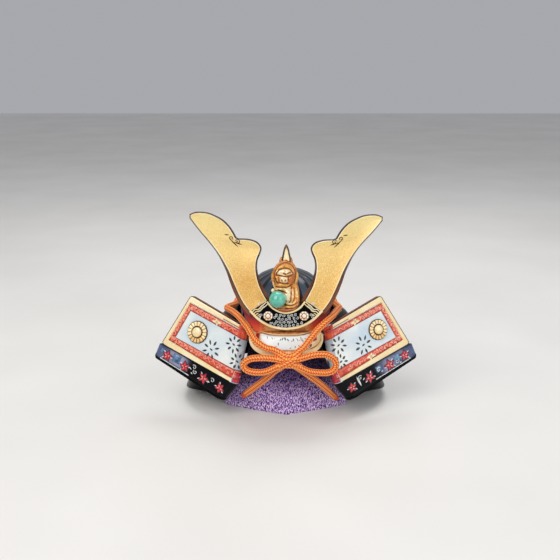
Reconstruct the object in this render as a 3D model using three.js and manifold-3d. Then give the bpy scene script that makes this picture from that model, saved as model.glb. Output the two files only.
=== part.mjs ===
// A display-size samurai helmet on its cloth-covered stand: ribbed bowl, peak, four neck-guard
// lames with turned-back ends, horned crest with a coiled dragon and pearl, and a tied cord.
// Millimetres, +Z up, the front towards -Y, origin on the floor under the middle of the stand.
import * as THREE from "three";
import { mergeVertices } from "three/addons/utils/BufferGeometryUtils.js";
import Module from "manifold-3d";

const wasm = await Module();
wasm.setup();

// Driving dimensions
const GAP = 0.3;

const BOWL_RADIUS = 32;
const BOWL_DEPTH = 38;
const BOWL_CENTRE_Y = 6;
const BOWL_RIM_Z = 58;
const BOWL_HEIGHT = 35.5;
const BOWL_WALL = 3.5;
const RIB_COUNT = 16;
const RIB_HEIGHT = 0.9;

const STAND_HALF_WIDTH = 41.5;
const STAND_FRONT = 34;
const STAND_BACK = 32;

const LAME_COUNT = 4;
const LAME_THICKNESS = 2.2;
const LAME_OVERLAP = 3;
const NECK_TOP_Z = 65;
const NECK_BOTTOM_Z = 5.4;
const NECK_BOTTOM_RADIUS = 71;
const NECK_FRONT_RISE = 9;
const LAME_SEAM = 0.8;

const TURN_BACK_X = 38;
const TURN_BACK_Y = -42;
const TURN_BACK_Z = 27.3;
const TURN_BACK_LENGTH = 58.3;
const TURN_BACK_TOP_LENGTH = 42.6;
const TURN_BACK_HEIGHT = 38.6;
const TURN_BACK_OUTER_HEIGHT = 40.4;
const TURN_BACK_THICKNESS = 3;
const TURN_BACK_SWING = 29.1;
const TURN_BACK_RISE = 17.7;
const TURN_BACK_LEAN = 16.2;
const TURN_BACK_CORNER = 2.6;
const FRAME_WIDTH = 4.4;
const FRAME_HEIGHT = 0.7;
const FOLD_RADIUS = 4.6;

const LOWEST_HEIGHT = 11.4;
const LOWEST_INNER_HEIGHT = 14.4;
const LOWEST_INNER_SLANT = 0.32;
const LOWEST_EXTRA_LENGTH = 1.6;
const LOWEST_SET_BACK = 0.6;

const BOSS_RADIUS = 7.4;
const BOSS_HEIGHT = 2.4;
const BOSS_PETALS = 16;

const PEAK_HALF_WIDTH = 24.6;
const PEAK_TOP_Z = 62.4;
const PEAK_DROP = 13.6;
const PEAK_REACH = 53.2;
const PEAK_THICKNESS = 2.2;
const PEAK_RIM_HEIGHT = 0.9;

const CREST_Y = -47;
const CREST_Z = 62;
const CREST_LEAN = 12.3;
const HORN_REACH = 62.5;
const HORN_RISE = 80.4;
const HORN_THICKNESS = 5;
const HORN_BEVEL = 1.5;
const PLATE_THICKNESS = 3;
const PLATE_PROUD = 1.5;
const SEAT_THICKNESS = 4.5;
const ROSETTE_RADIUS = 2.9;
const ROSETTE_HEIGHT = 1.1;

const PEARL_RADIUS = 5.5;
const DRAGON_HEIGHT = 29;
const DRAGON_HALF_WIDTH = 10;
const BLADE_LENGTH = 24;
const BLADE_HALF_WIDTH = 2.6;
const BLADE_THICKNESS = 3.2;

const CORD_DIAMETER = 4.4;
const CORD_SIDES = 8;
const KNOT_HALF_WIDTH = 8.4;

// Materials
const paint = (color, roughness, metalness) => new THREE.MeshStandardMaterial({ color, roughness, metalness });
const GOLD = paint(0xd9b26a, 0.4, 0.7);
const BLACK_GLAZE = paint(0x20242c, 0.12, 0.1);
const RED_GLAZE = paint(0xb5371f, 0.2, 0.1);
const WHITE_GLAZE = paint(0xe9edf2, 0.2, 0);
const SILVER = paint(0x8f9296, 0.35, 0.6);
const TURQUOISE = paint(0x49b59c, 0.1, 0);
const ORANGE_CORD = paint(0xe07b35, 0.8, 0);
const PURPLE_CLOTH = paint(0x7a4aa0, 0.9, 0);

const radians = THREE.MathUtils.degToRad;
const mix = THREE.MathUtils.lerp;
const ease = THREE.MathUtils.smoothstep;
const point = (x, y, z) => new THREE.Vector3(x, y, z);

function mesh(name, geometry, material) {
  const piece = new THREE.Mesh(geometry, material);
  piece.name = name;
  return piece;
}

// Joins equal vertices, drops faces that have shrunk to a line, and turns the faces outwards.
function closed(geometry) {
  const bare = new THREE.BufferGeometry();
  bare.setAttribute("position", geometry.getAttribute("position").clone());
  if (geometry.index) bare.setIndex(geometry.index.clone());
  const merged = mergeVertices(bare, 1e-4);
  const corners = merged.index.array;
  const position = merged.getAttribute("position");
  const [a, b, c] = [point(), point(), point()];
  const faces = [];
  let volume = 0;
  for (let i = 0; i < corners.length; i += 3) {
    const [p, q, r] = corners.slice(i, i + 3);
    if (p === q || q === r || r === p) continue;
    faces.push([p, q, r]);
    a.fromBufferAttribute(position, p);
    b.fromBufferAttribute(position, q);
    c.fromBufferAttribute(position, r);
    volume += a.dot(b.cross(c));
  }
  merged.setIndex(faces.flatMap(([p, q, r]) => (volume < 0 ? [p, r, q] : [p, q, r])));
  return merged;
}

// A wall between a front and a back grid of points, closed along its edges.
function wall(columns, rows, front, back, round = false) {
  const vertices = [];
  for (const side of [front, back])
    for (let i = 0; i < columns; i++)
      for (let j = 0; j < rows; j++) vertices.push(...side(i, j).toArray());
  const faces = [];
  const at = (side, i, j) => (side * columns + (i % columns)) * rows + j;
  const quad = (p, q, r, s) => faces.push(p, q, r, p, r, s);
  const spans = round ? columns : columns - 1;
  for (let i = 0; i < spans; i++) {
    for (let j = 0; j < rows - 1; j++) {
      quad(at(0, i, j), at(0, i + 1, j), at(0, i + 1, j + 1), at(0, i, j + 1));
      quad(at(1, i, j + 1), at(1, i + 1, j + 1), at(1, i + 1, j), at(1, i, j));
    }
    quad(at(0, i + 1, 0), at(0, i, 0), at(1, i, 0), at(1, i + 1, 0));
    quad(at(0, i, rows - 1), at(0, i + 1, rows - 1), at(1, i + 1, rows - 1), at(1, i, rows - 1));
  }
  for (let j = 0; j < rows - 1 && !round; j++) {
    const last = columns - 1;
    quad(at(0, 0, j), at(0, 0, j + 1), at(1, 0, j + 1), at(1, 0, j));
    quad(at(0, last, j + 1), at(0, last, j), at(1, last, j), at(1, last, j + 1));
  }
  return closed(new THREE.BufferGeometry()
    .setAttribute("position", new THREE.Float32BufferAttribute(vertices, 3))
    .setIndex(faces));
}

// A solid lofted through closed rings of equal length, with flat ends.
function loft(rings) {
  const sides = rings[0].length;
  const vertices = rings.flat().flatMap((p) => p.toArray());
  const faces = [];
  for (let k = 0; k < rings.length - 1; k++)
    for (let i = 0; i < sides; i++) {
      const [a, b] = [k * sides + i, k * sides + ((i + 1) % sides)];
      faces.push(a, b, b + sides, a, b + sides, a + sides);
    }
  const top = (rings.length - 1) * sides;
  for (let i = 1; i < sides - 1; i++) {
    faces.push(0, i + 1, i);
    faces.push(top, top + i, top + i + 1);
  }
  return closed(new THREE.BufferGeometry()
    .setAttribute("position", new THREE.Float32BufferAttribute(vertices, 3))
    .setIndex(faces));
}

function solidOf(geometry) {
  const shape = closed(geometry);
  return new wasm.Manifold(new wasm.Mesh({
    numProp: 3,
    vertProperties: shape.getAttribute("position").array,
    triVerts: new Uint32Array(shape.index.array),
  }));
}

function geometryOf(solid) {
  const made = solid.getMesh();
  return new THREE.BufferGeometry()
    .setAttribute("position", new THREE.BufferAttribute(made.vertProperties, 3))
    .setIndex(new THREE.BufferAttribute(made.triVerts, 1));
}

const cut = (geometry, tool) => geometryOf(solidOf(geometry).subtract(solidOf(tool)));
const join = (geometries) => geometryOf(geometries.map(solidOf).reduce((sum, next) => sum.add(next)));

// Bowl
// Share of the radius and of the height, from the rim to the crown.
const BOWL_PROFILE = [
  { out: 1, up: 0 }, { out: 0.995, up: 0.2 }, { out: 0.955, up: 0.36 }, { out: 0.865, up: 0.54 },
  { out: 0.73, up: 0.715 }, { out: 0.54, up: 0.865 }, { out: 0.31, up: 0.958 }, { out: 0, up: 1 },
];
const RIB_START = 0.3;

function bowlPoint(row, angle, inset, rib) {
  const { out, up } = BOWL_PROFILE[row];
  const across = (BOWL_RADIUS - inset) * out + rib;
  const along = (BOWL_DEPTH - inset) * out + rib;
  const z = BOWL_RIM_Z + (BOWL_HEIGHT - inset) * up;
  return point(across * Math.sin(angle), BOWL_CENTRE_Y - along * Math.cos(angle), z);
}

function bowl() {
  const samples = 3;
  const columns = RIB_COUNT * samples;
  const turn = (i) => (2 * Math.PI * i) / columns;
  const ribAt = (i, row) => {
    const { out, up } = BOWL_PROFILE[row];
    const raised = i % samples < 1 && up > RIB_START && out > 0.1;
    return raised ? RIB_HEIGHT : 0;
  };
  return wall(columns, BOWL_PROFILE.length,
    (i, j) => bowlPoint(j, turn(i), 0, ribAt(i, j)),
    (i, j) => bowlPoint(j, turn(i), BOWL_WALL, 0), true);
}

// Stand
// Plan of the base, as shares of the half width and of the front or back depth.
const STAND_PLAN = [
  { across: 0, back: -1 }, { across: 0.3, back: -0.86 }, { across: 0.72, back: -0.65 },
  { across: 0.96, back: -0.51 }, { across: 1, back: -0.4 }, { across: 0.97, back: 0 },
  { across: 0.9, back: 0.55 }, { across: 0.68, back: 0.92 }, { across: 0.3, back: 1 }, { across: 0, back: 1 },
];
// Heights as shares of the stand's height, widths and depths as shares of the base's.
const STAND_LEVELS = [
  { up: 0, width: 1, depth: 1 }, { up: 0.045, width: 1, depth: 1 }, { up: 0.14, width: 0.85, depth: 0.95 },
  { up: 0.28, width: 0.69, depth: 0.84 }, { up: 0.43, width: 0.6, depth: 0.72 },
  { up: 0.62, width: 0.46, depth: 0.55 }, { up: 0.8, width: 0.36, depth: 0.42 },
  { up: 0.93, width: 0.22, depth: 0.26 }, { up: 1, width: 0.05, depth: 0.06 },
];
const standHeight = BOWL_RIM_Z + BOWL_HEIGHT - BOWL_WALL - 3 * GAP;

function stand() {
  const half = STAND_PLAN.slice(1, -1).reverse().map(({ across, back }) => ({ across: -across, back }));
  const plan = [...STAND_PLAN, ...half];
  const ring = ({ up, width, depth }) => plan.map(({ across, back }) => point(
    across * width * STAND_HALF_WIDTH,
    back * depth * (back < 0 ? STAND_FRONT : STAND_BACK) + up * BOWL_CENTRE_Y,
    up * standHeight,
  ));
  return loft(STAND_LEVELS.map(ring));
}

// Turned-back end plates: the right one, which the left one mirrors
const swing = radians(TURN_BACK_SWING);
const rise = radians(TURN_BACK_RISE);
const lean = radians(TURN_BACK_LEAN);
const outwards = point(Math.cos(swing) * Math.cos(rise), Math.sin(swing) * Math.cos(rise), Math.sin(rise));
const facing = point(Math.sin(swing), -Math.cos(swing), 0)
  .multiplyScalar(Math.cos(lean))
  .add(point(0, 0, Math.sin(lean)));
facing.addScaledVector(outwards, -facing.dot(outwards)).normalize();
const upwards = facing.clone().cross(outwards).normalize();
const innerBottom = point(TURN_BACK_X, TURN_BACK_Y, TURN_BACK_Z);

// A place on the plate's front face: "out" along its lower edge, "up" across it, "proud" off it.
const onPlate = (out, up, proud) => innerBottom.clone()
  .addScaledVector(outwards, out)
  .addScaledVector(upwards, up)
  .addScaledVector(facing, proud);

const innerSlant = (TURN_BACK_LENGTH - TURN_BACK_TOP_LENGTH) * 0.533;
// Where the fold begins, at a place up the plate or down the strip below it.
const innerEdge = (up) => (up < 0 ? -LOWEST_INNER_SLANT * up : (innerSlant * up) / TURN_BACK_HEIGHT);
const plateCorners = {
  bottomInner: [0, 0],
  bottomOuter: [TURN_BACK_LENGTH, 0],
  topOuter: [innerSlant + TURN_BACK_TOP_LENGTH, TURN_BACK_OUTER_HEIGHT],
  topInner: [innerSlant, TURN_BACK_HEIGHT],
};
const lowestCorners = {
  bottomInner: [innerEdge(-LOWEST_INNER_HEIGHT - GAP), -LOWEST_INNER_HEIGHT - GAP],
  bottomOuter: [TURN_BACK_LENGTH + LOWEST_EXTRA_LENGTH, -LOWEST_HEIGHT - GAP],
  topOuter: [TURN_BACK_LENGTH + LOWEST_EXTRA_LENGTH * 0.6, -GAP],
  topInner: [innerEdge(-GAP), -GAP],
};

// A flat plate whose inner end folds back round a half circle. It has a raised frame of the given
// width and height along its top, outer and bottom edges.
function foldedPlate(corners, thickness, setBack, frame, frameHeight, cornerRadius) {
  const foldSteps = 6;
  const at = (s, t) => {
    const bottom = [0, 1].map((k) => mix(corners.bottomInner[k], corners.bottomOuter[k], s));
    const top = [0, 1].map((k) => mix(corners.topInner[k], corners.topOuter[k], s));
    return [0, 1].map((k) => mix(bottom[k], top[k], t));
  };
  const length = Math.hypot(...[0, 1].map((k) => at(1, 0.5)[k] - at(0, 0.5)[k]));
  const height = (s) => Math.hypot(...[0, 1].map((k) => at(s, 1)[k] - at(s, 0)[k]));
  const step = 0.4;
  const stops = [0, 0.35, 0.7, 1 - (frame + step) / length, 1 - frame / length];
  const rounding = [0, 30, 60, 90].map((turn) => ({
    s: 1 - (cornerRadius * (1 - Math.sin(radians(turn)))) / length,
    inset: cornerRadius * (1 - Math.cos(radians(turn))),
  }));
  const flat = frame ? stops : [0, 0.35, 0.7];
  const columns = [
    ...Array.from({ length: foldSteps }, (_, k) => ({ s: 0, inset: 0, turn: 180 * (1 - k / foldSteps) })),
    ...flat.map((s) => ({ s, inset: 0, turn: 0 })),
    ...rounding.map(({ s, inset }) => ({ s, inset, turn: 0 })),
  ];
  const rowsOf = ({ s, inset }) => {
    const edge = inset / height(s);
    const inner = (frame || height(s) * 0.2) / height(s);
    const rim = Math.max(edge + 0.002, inner);
    const next = rim + step / height(s);
    return [edge, rim, next, 0.5, 1 - next, 1 - rim, 1 - edge];
  };
  const raised = (i, j) => {
    if (!frame) return 0;
    const { s, turn } = columns[i];
    if (turn > 0) return 0;
    const onEdge = j < 2 || j > 4 || s > 1 - frame / length - 1e-6;
    return onEdge && s > 0 ? frameHeight : 0;
  };
  const surface = (i, j, depth) => {
    const { s, turn } = columns[i];
    const [out, up] = at(s, rowsOf(columns[i])[j]);
    if (!turn) return onPlate(out, up, depth - setBack);
    const angle = radians(turn);
    const radius = FOLD_RADIUS + depth;
    return onPlate(out - radius * Math.sin(angle), up, -FOLD_RADIUS + radius * Math.cos(angle) - setBack);
  };
  return wall(columns.length, 7, (i, j) => surface(i, j, raised(i, j)), (i, j) => surface(i, j, -thickness));
}

// Sixteen-petalled boss with a button, on the plate's front face
const BOSS_PLACE = { out: 0.665, up: 0.545 };

function boss() {
  const rows = [
    { radius: 1, up: 0, dip: 0.06 }, { radius: 0.97, up: 0.45, dip: 0.08 }, { radius: 0.72, up: 0.62, dip: 0.04 },
    { radius: 0.48, up: 0.5, dip: 0 }, { radius: 0.42, up: 1, dip: 0 },
  ];
  const columns = BOSS_PETALS * 2;
  const rings = rows.map(({ radius, up, dip }) => Array.from({ length: columns }, (_, i) => {
    const angle = (2 * Math.PI * i) / columns;
    const r = BOSS_RADIUS * radius * (i % 2 ? 1 - dip : 1);
    return onPlate(
      BOSS_PLACE.out * TURN_BACK_LENGTH + r * Math.cos(angle),
      BOSS_PLACE.up * TURN_BACK_HEIGHT + r * Math.sin(angle),
      GAP + up * BOSS_HEIGHT,
    );
  }));
  return loft(rings);
}

// Neck guard
// Radius, front end and heights of the cone that the lames follow.
const neckTopRadius = BOWL_RADIUS + GAP + 0.1 + LAME_THICKNESS / 2;
const lameHeight = (NECK_TOP_Z - NECK_BOTTOM_Z + LAME_OVERLAP * (LAME_COUNT - 1)) / LAME_COUNT;
const lameStep = LAME_THICKNESS + GAP;
const wholeFlare = NECK_BOTTOM_RADIUS - neckTopRadius - lameStep * (LAME_COUNT - 1);
// Share of the whole flare that each lame takes, the topmost first, and how early it swells out.
const FLARES = [{ share: 0.43, swell: 3 }, { share: 0.23, swell: 1.3 }, { share: 0.18, swell: 1.15 }, { share: 0.16, swell: 1.1 }];
const foldDepth = 2 * FOLD_RADIUS - TURN_BACK_THICKNESS / 2;

// Where the middle of a lame meets the plate's folded end, at a height z.
function lameEnd(z) {
  const up = (z - TURN_BACK_Z) / upwards.z;
  const place = onPlate(innerEdge(up), up, -foldDepth);
  return place.addScaledVector(outwards, 3 * GAP);
}

function lamePoint(radius, z, share) {
  const end = lameEnd(z);
  const across = Math.min(0.95, end.x / radius);
  const last = Math.PI - Math.asin(across);
  const angle = Math.abs(share) * last;
  const front = (BOWL_CENTRE_Y - end.y) / Math.sqrt(1 - across * across);
  const depth = angle < Math.PI / 2 ? radius + BOWL_DEPTH - BOWL_RADIUS : front;
  return point(Math.sign(share) * radius * Math.sin(angle), BOWL_CENTRE_Y + depth * Math.cos(angle), z);
}

function lame(index) {
  const columns = 35;
  const { share: flareShare, swell } = FLARES[index];
  const above = FLARES.slice(0, index).reduce((sum, row) => sum + row.share, 0);
  const topRadius = neckTopRadius + index * lameStep + above * wholeFlare;
  const bottomRadius = topRadius + flareShare * wholeFlare;
  const topZ = NECK_TOP_Z - index * (lameHeight - LAME_OVERLAP);
  const bottomZ = topZ - lameHeight;
  const lowest = index === LAME_COUNT - 1;
  const shareOf = (i) => (2 * i) / (columns - 1) - 1;
  const middle = (i, t) => {
    const share = shareOf(Math.min(columns - 1, Math.max(0, i)));
    const lift = lowest
      ? NECK_FRONT_RISE * ease(Math.abs(share), 0.62, 0.97)
      : (LAME_OVERLAP + LAME_SEAM) * ease(Math.abs(share), 0.35, 0.58);
    return lamePoint(mix(bottomRadius, topRadius, t ** swell), mix(bottomZ + lift, topZ, t), share);
  };
  const rows = swell > 2 ? [0, 0.45, 0.75, 0.91, 1] : [0, 0.5, 1];
  const side = (i, j, offset) => {
    const here = middle(i, rows[j]);
    const along = middle(i + 1, rows[j]).sub(middle(i - 1, rows[j]));
    const upward = middle(i, rows[Math.min(rows.length - 1, j + 1)]).sub(middle(i, rows[Math.max(0, j - 1)]));
    return here.addScaledVector(upward.cross(along).normalize(), offset);
  };
  const half = LAME_THICKNESS / 2;
  return wall(columns, rows.length, (i, j) => side(i, j, half), (i, j) => side(i, j, -half));
}

// Peak
// Rows from the bowl to the lip. Width and drop are shares of the peak's, reach is the share of the
// way from the bowl's front to the lip, and square is how boxy the row's plan is.
const PEAK_ROWS = [
  { width: 0.9, drop: -0.04, reach: 0, rim: 0 }, { width: 0.9, drop: 0.0, reach: 0.3, rim: 0 },
  { width: 0.9, drop: 0.03, reach: 0.62, rim: 0 }, { width: 0.9, drop: 0.13, reach: 0.76, rim: 0 },
  { width: 0.93, drop: 0.5, reach: 0.88, rim: 0 }, { width: 0.96, drop: 0.76, reach: 0.96, rim: 0 },
  { width: 0.97, drop: 0.8, reach: 0.985, rim: 1 }, { width: 1, drop: 1, reach: 1, rim: 1 },
];

function peakPoint(row, share, proud) {
  const { width, drop, reach } = PEAK_ROWS[row];
  const angle = (share * Math.PI) / 2;
  const x = PEAK_HALF_WIDTH * width * Math.sign(angle) * Math.abs(Math.sin(angle)) ** 0.8;
  const bowlSide = Math.min(0.98, Math.abs(x) / (BOWL_RADIUS + GAP));
  const bowlFront = BOWL_CENTRE_Y - (BOWL_DEPTH + GAP) * Math.sqrt(1 - bowlSide ** 2);
  const lip = -PEAK_REACH + (PEAK_REACH * 0.24) * (1 - Math.cos(angle)) ** 1.2;
  const y = mix(bowlFront, lip, reach);
  const z = PEAK_TOP_Z - PEAK_DROP * drop * Math.abs(Math.cos(angle)) ** 0.55;
  return { place: point(x, y, z), proud };
}

function peak(above, below) {
  const columns = 19;
  const rows = PEAK_ROWS.length;
  const base = (i, j) => {
    const share = THREE.MathUtils.clamp((2 * i) / (columns - 1) - 1, -1, 1);
    return peakPoint(THREE.MathUtils.clamp(j, 0, rows - 1), share * 0.97, 0).place;
  };
  const side = (i, j, offset) => {
    const along = base(Math.min(columns - 1, i + 1), j).sub(base(Math.max(0, i - 1), j));
    const down = base(i, Math.min(rows - 1, j + 1)).sub(base(i, Math.max(0, j - 1)));
    const normal = down.cross(along).normalize();
    if (normal.z - normal.y < 0) normal.negate();
    if (j === 0) normal.set(0, 0, 1);
    return base(i, j).addScaledVector(normal, offset);
  };
  const rim = (j) => (PEAK_ROWS[j].rim ? PEAK_RIM_HEIGHT : 0);
  return wall(columns, rows, (i, j) => side(i, j, above + rim(j)), (i, j) => side(i, j, -below));
}

// The crest's own leaning frame: x across, y up its face, z forwards off it
const crestFrame = new THREE.Matrix4()
  .makeRotationX(Math.PI / 2 - radians(CREST_LEAN))
  .setPosition(0, CREST_Y, CREST_Z);

// Crest: outlines in its own leaning plane, as shares of the horns' reach and rise
const HORN_OUTER = [
  { across: 1, up: 0.96 }, { across: 0.898, up: 0.854 }, { across: 0.794, up: 0.757 },
  { across: 0.69, up: 0.644 }, { across: 0.608, up: 0.531 }, { across: 0.555, up: 0.433 },
  { across: 0.504, up: 0.343 }, { across: 0.45, up: 0.262 }, { across: 0.378, up: 0.189 },
  { across: 0.294, up: 0.123 }, { across: 0.21, up: 0.08 }, { across: 0.117, up: 0.053 }, { across: 0, up: 0.041 },
];
const HORN_CROWN = [
  { across: 1, up: 0.984 }, { across: 0.94, up: 1 }, { across: 0.835, up: 0.996 }, { across: 0.752, up: 0.973 },
  { across: 0.67, up: 0.937 }, { across: 0.607, up: 0.888 }, { across: 0.565, up: 0.838 }, { across: 0.533, up: 0.79 },
];
const HORN_INNER = [
  { across: 0.502, up: 0.779 }, { across: 0.408, up: 0.776 }, { across: 0.336, up: 0.762 },
  { across: 0.292, up: 0.738 }, { across: 0.272, up: 0.705 }, { across: 0.283, up: 0.669 },
  { across: 0.309, up: 0.621 }, { across: 0.32, up: 0.563 }, { across: 0.315, up: 0.499 },
  { across: 0.29, up: 0.417 }, { across: 0.253, up: 0.352 }, { across: 0.2, up: 0.279 },
  { across: 0.147, up: 0.229 }, { across: 0.075, up: 0.197 }, { across: 0, up: 0.184 },
];
const PLATE_OUTER_ROWS = 5;
const PLATE_INNER_ROWS = 4;
const crestPoint = ({ across, up }) => new THREE.Vector2(across * HORN_REACH, up * HORN_RISE);
const slab = (shape, depth, bevel, curveSegments, offset = -bevel) => new THREE.ExtrudeGeometry(shape, {
  depth: depth - 2 * bevel,
  curveSegments,
  bevelEnabled: bevel > 0,
  bevelThickness: bevel,
  bevelSize: bevel,
  bevelOffset: offset,
  bevelSegments: 1,
});

const mirrored = (p) => new THREE.Vector2(-p.x, p.y);

// The plate's outline, grown by a clearance: along its lower edge to the right and back along its upper edge.
function plateShape(grow) {
  const lower = HORN_OUTER.slice(-PLATE_OUTER_ROWS).map(crestPoint).map((p) => p.setY(p.y - grow));
  const upper = HORN_INNER.slice(-PLATE_INNER_ROWS).map(crestPoint).map((p) => p.setY(p.y + grow));
  const [low, high] = [lower[0], upper[0]];
  const shape = new THREE.Shape();
  shape.moveTo(-low.x, low.y);
  shape.splineThru([...lower.slice(1).map(mirrored), ...lower.slice(0, -1).reverse()]);
  shape.lineTo(low.x + grow, low.y + grow);
  shape.lineTo(high.x + grow, high.y);
  shape.lineTo(high.x, high.y);
  shape.splineThru([...upper.slice(1), ...upper.slice(0, -1).reverse().map(mirrored)]);
  shape.lineTo(-high.x - grow, high.y);
  shape.lineTo(-low.x - grow, low.y + grow);
  return shape;
}

function hornShape() {
  const outer = HORN_OUTER.map(crestPoint);
  const crown = HORN_CROWN.map(crestPoint);
  const inner = HORN_INNER.map(crestPoint);
  const shape = new THREE.Shape();
  shape.moveTo(outer[0].x, outer[0].y);
  shape.lineTo(crown[0].x, crown[0].y);
  shape.splineThru(crown.slice(1));
  shape.lineTo(inner[0].x, inner[0].y);
  shape.splineThru(inner.slice(1, -1));
  shape.lineTo(GAP / 2 + HORN_BEVEL, inner.at(-1).y);
  shape.lineTo(GAP / 2 + HORN_BEVEL, outer.at(-1).y);
  shape.splineThru(outer.slice(1, -1).reverse());
  shape.lineTo(outer[0].x, outer[0].y);
  return shape;
}

const hornFront = -PLATE_PROUD;
const hornBack = hornFront - HORN_THICKNESS;

function hornBlank(grow) {
  const blank = slab(hornShape(), HORN_THICKNESS + 2 * grow, HORN_BEVEL, 2, grow);
  return blank.translate(0, 0, hornBack - grow + HORN_BEVEL);
}

function horn() {
  const blank = hornBlank(0);
  const socket = slab(plateShape(GAP), PLATE_THICKNESS + 2 * GAP, 0, 2);
  socket.translate(0, 0, -PLATE_THICKNESS - GAP);
  const root = slab(plateShape(GAP), PLATE_THICKNESS, 0, 2);
  root.translate(0, 0, -GAP);
  return geometryOf(solidOf(blank).subtract(solidOf(socket)).subtract(solidOf(root)));
}

function crestPlate() {
  const plate = slab(plateShape(0), PLATE_THICKNESS, 0.5, 2);
  return plate.translate(0, 0, -PLATE_THICKNESS + 0.5);
}

function rosette(x, y) {
  const petals = 8;
  const rows = [{ radius: 1, up: 0 }, { radius: 0.9, up: 0.6 }, { radius: 0.4, up: 0.6 }, { radius: 0.3, up: 1 }];
  const rings = rows.map(({ radius, up }, row) => Array.from({ length: petals * 2 }, (_, i) => {
    const angle = (Math.PI * i) / petals;
    const r = ROSETTE_RADIUS * radius * (i % 2 && row < 2 ? 0.84 : 1);
    return point(x + r * Math.cos(angle), y + r * Math.sin(angle), GAP + up * ROSETTE_HEIGHT);
  }));
  return loft(rings);
}

// Thick red seat that the horns and the plate rise from. "below" is how far it shows under them.
const SEAT_ROWS = [
  { across: 0.52, up: 0.35, below: 1.6 }, { across: 0.45, up: 0.262, below: 4 },
  { across: 0.378, up: 0.189, below: 6.5 }, { across: 0.294, up: 0.123, below: 8.5 },
  { across: 0.21, up: 0.08, below: 8.2 }, { across: 0.117, up: 0.053, below: 7.2 }, { across: 0, up: 0.041, below: 6.6 },
];
const SEAT_COVER = 5;

function seat() {
  const lower = SEAT_ROWS.map(({ across, up, below }) => crestPoint({ across, up }).add(
    new THREE.Vector2(below * across * 0.9, -below * Math.sqrt(1 - across * across))));
  const upper = SEAT_ROWS.map((row) => crestPoint(row).add(new THREE.Vector2(-SEAT_COVER * row.across, SEAT_COVER)));
  const loop = [
    ...lower, ...lower.slice(0, -1).reverse().map(mirrored),
    ...upper.map(mirrored), ...upper.slice(0, -1).reverse(),
  ];
  const blank = slab(new THREE.Shape(loop), SEAT_THICKNESS, 0, 1);
  blank.translate(0, 0, hornBack - GAP - SEAT_THICKNESS);
  const underPeak = peak(GAP, SEAT_THICKNESS * 3).applyMatrix4(crestFrame.clone().invert());
  return cut(blank, underPeak);
}

// Crest figure: a small dragon coiled round the foot of an upright blade
// Rounded masses as shares of the figure's half width and height, with depth as a share of the width.
const DRAGON_MASSES = [
  { x: 0, y: 0.3, z: -0.35, rx: 0.74, ry: 0.36, rz: 0.5 },
  { x: 0.02, y: 0.66, z: -0.25, rx: 0.8, ry: 0.3, rz: 0.5 },
  { x: -0.03, y: 0.9, z: -0.25, rx: 0.88, ry: 0.19, rz: 0.45 },
  { x: -0.05, y: 1.08, z: -0.26, rx: 0.42, ry: 0.18, rz: 0.38 },
  { x: -0.13, y: 0.74, z: 0.14, rx: 0.52, ry: 0.2, rz: 0.4 },
  { x: -0.14, y: 0.7, z: 0.42, rx: 0.32, ry: 0.08, rz: 0.34 },
  { x: -0.12, y: 0.88, z: 0.24, rx: 0.46, ry: 0.06, rz: 0.34 },
];
// The body's coils: a rope of the given thickness round the foot of the figure.
const DRAGON_COIL = [
  { x: 0.1, y: 0.55, z: 0.1 }, { x: 0.62, y: 0.5, z: 0.05 }, { x: 0.78, y: 0.3, z: 0.0 },
  { x: 0.6, y: 0.12, z: 0.2 }, { x: 0.15, y: 0.06, z: 0.35 }, { x: -0.35, y: 0.08, z: 0.3 },
  { x: -0.78, y: 0.14, z: -0.05 }, { x: -0.7, y: 0.22, z: -0.5 },
];
const COIL_SHARE = 0.2;
const PEARL_PLACE = { x: -0.56, y: 0.26, z: 0.5 };
const DRAGON_FOOT = 0.2;
const dragonZ = hornBack + 4;
const figurePoint = ({ x, y, z }) => point(
  x * DRAGON_HALF_WIDTH,
  HORN_RISE * DRAGON_FOOT + y * DRAGON_HEIGHT,
  dragonZ + z * DRAGON_HALF_WIDTH,
);

function ball(place, rx, ry, rz, sides) {
  const sphere = new THREE.SphereGeometry(1, sides, Math.round(sides * 0.6));
  return sphere.scale(rx, ry, rz).translate(place.x, place.y, place.z);
}

function tube(route, radius, steps, sides) {
  const curve = new THREE.CatmullRomCurve3(route, false, "centripetal");
  const section = new THREE.Shape(Array.from({ length: sides }, (_, i) => {
    const angle = (2 * Math.PI * (i + 0.5)) / sides;
    return new THREE.Vector2(radius * Math.cos(angle), radius * Math.sin(angle));
  }));
  return new THREE.ExtrudeGeometry(section, { steps, extrudePath: curve, bevelEnabled: false });
}

function dragon() {
  const masses = DRAGON_MASSES.map((row) => ball(
    figurePoint(row), row.rx * DRAGON_HALF_WIDTH, row.ry * DRAGON_HEIGHT, row.rz * DRAGON_HALF_WIDTH, 10));
  const coil = tube(DRAGON_COIL.map(figurePoint), COIL_SHARE * DRAGON_HALF_WIDTH, 20, 7);
  const pearlHole = ball(figurePoint(PEARL_PLACE), PEARL_RADIUS + GAP, PEARL_RADIUS + GAP, PEARL_RADIUS + GAP, 14);
  const otherHorn = hornBlank(GAP).scale(-1, 1, 1);
  return [pearlHole, blade(GAP), hornBlank(GAP), otherHorn].reduce(cut, join([...masses, coil]));
}

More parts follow.
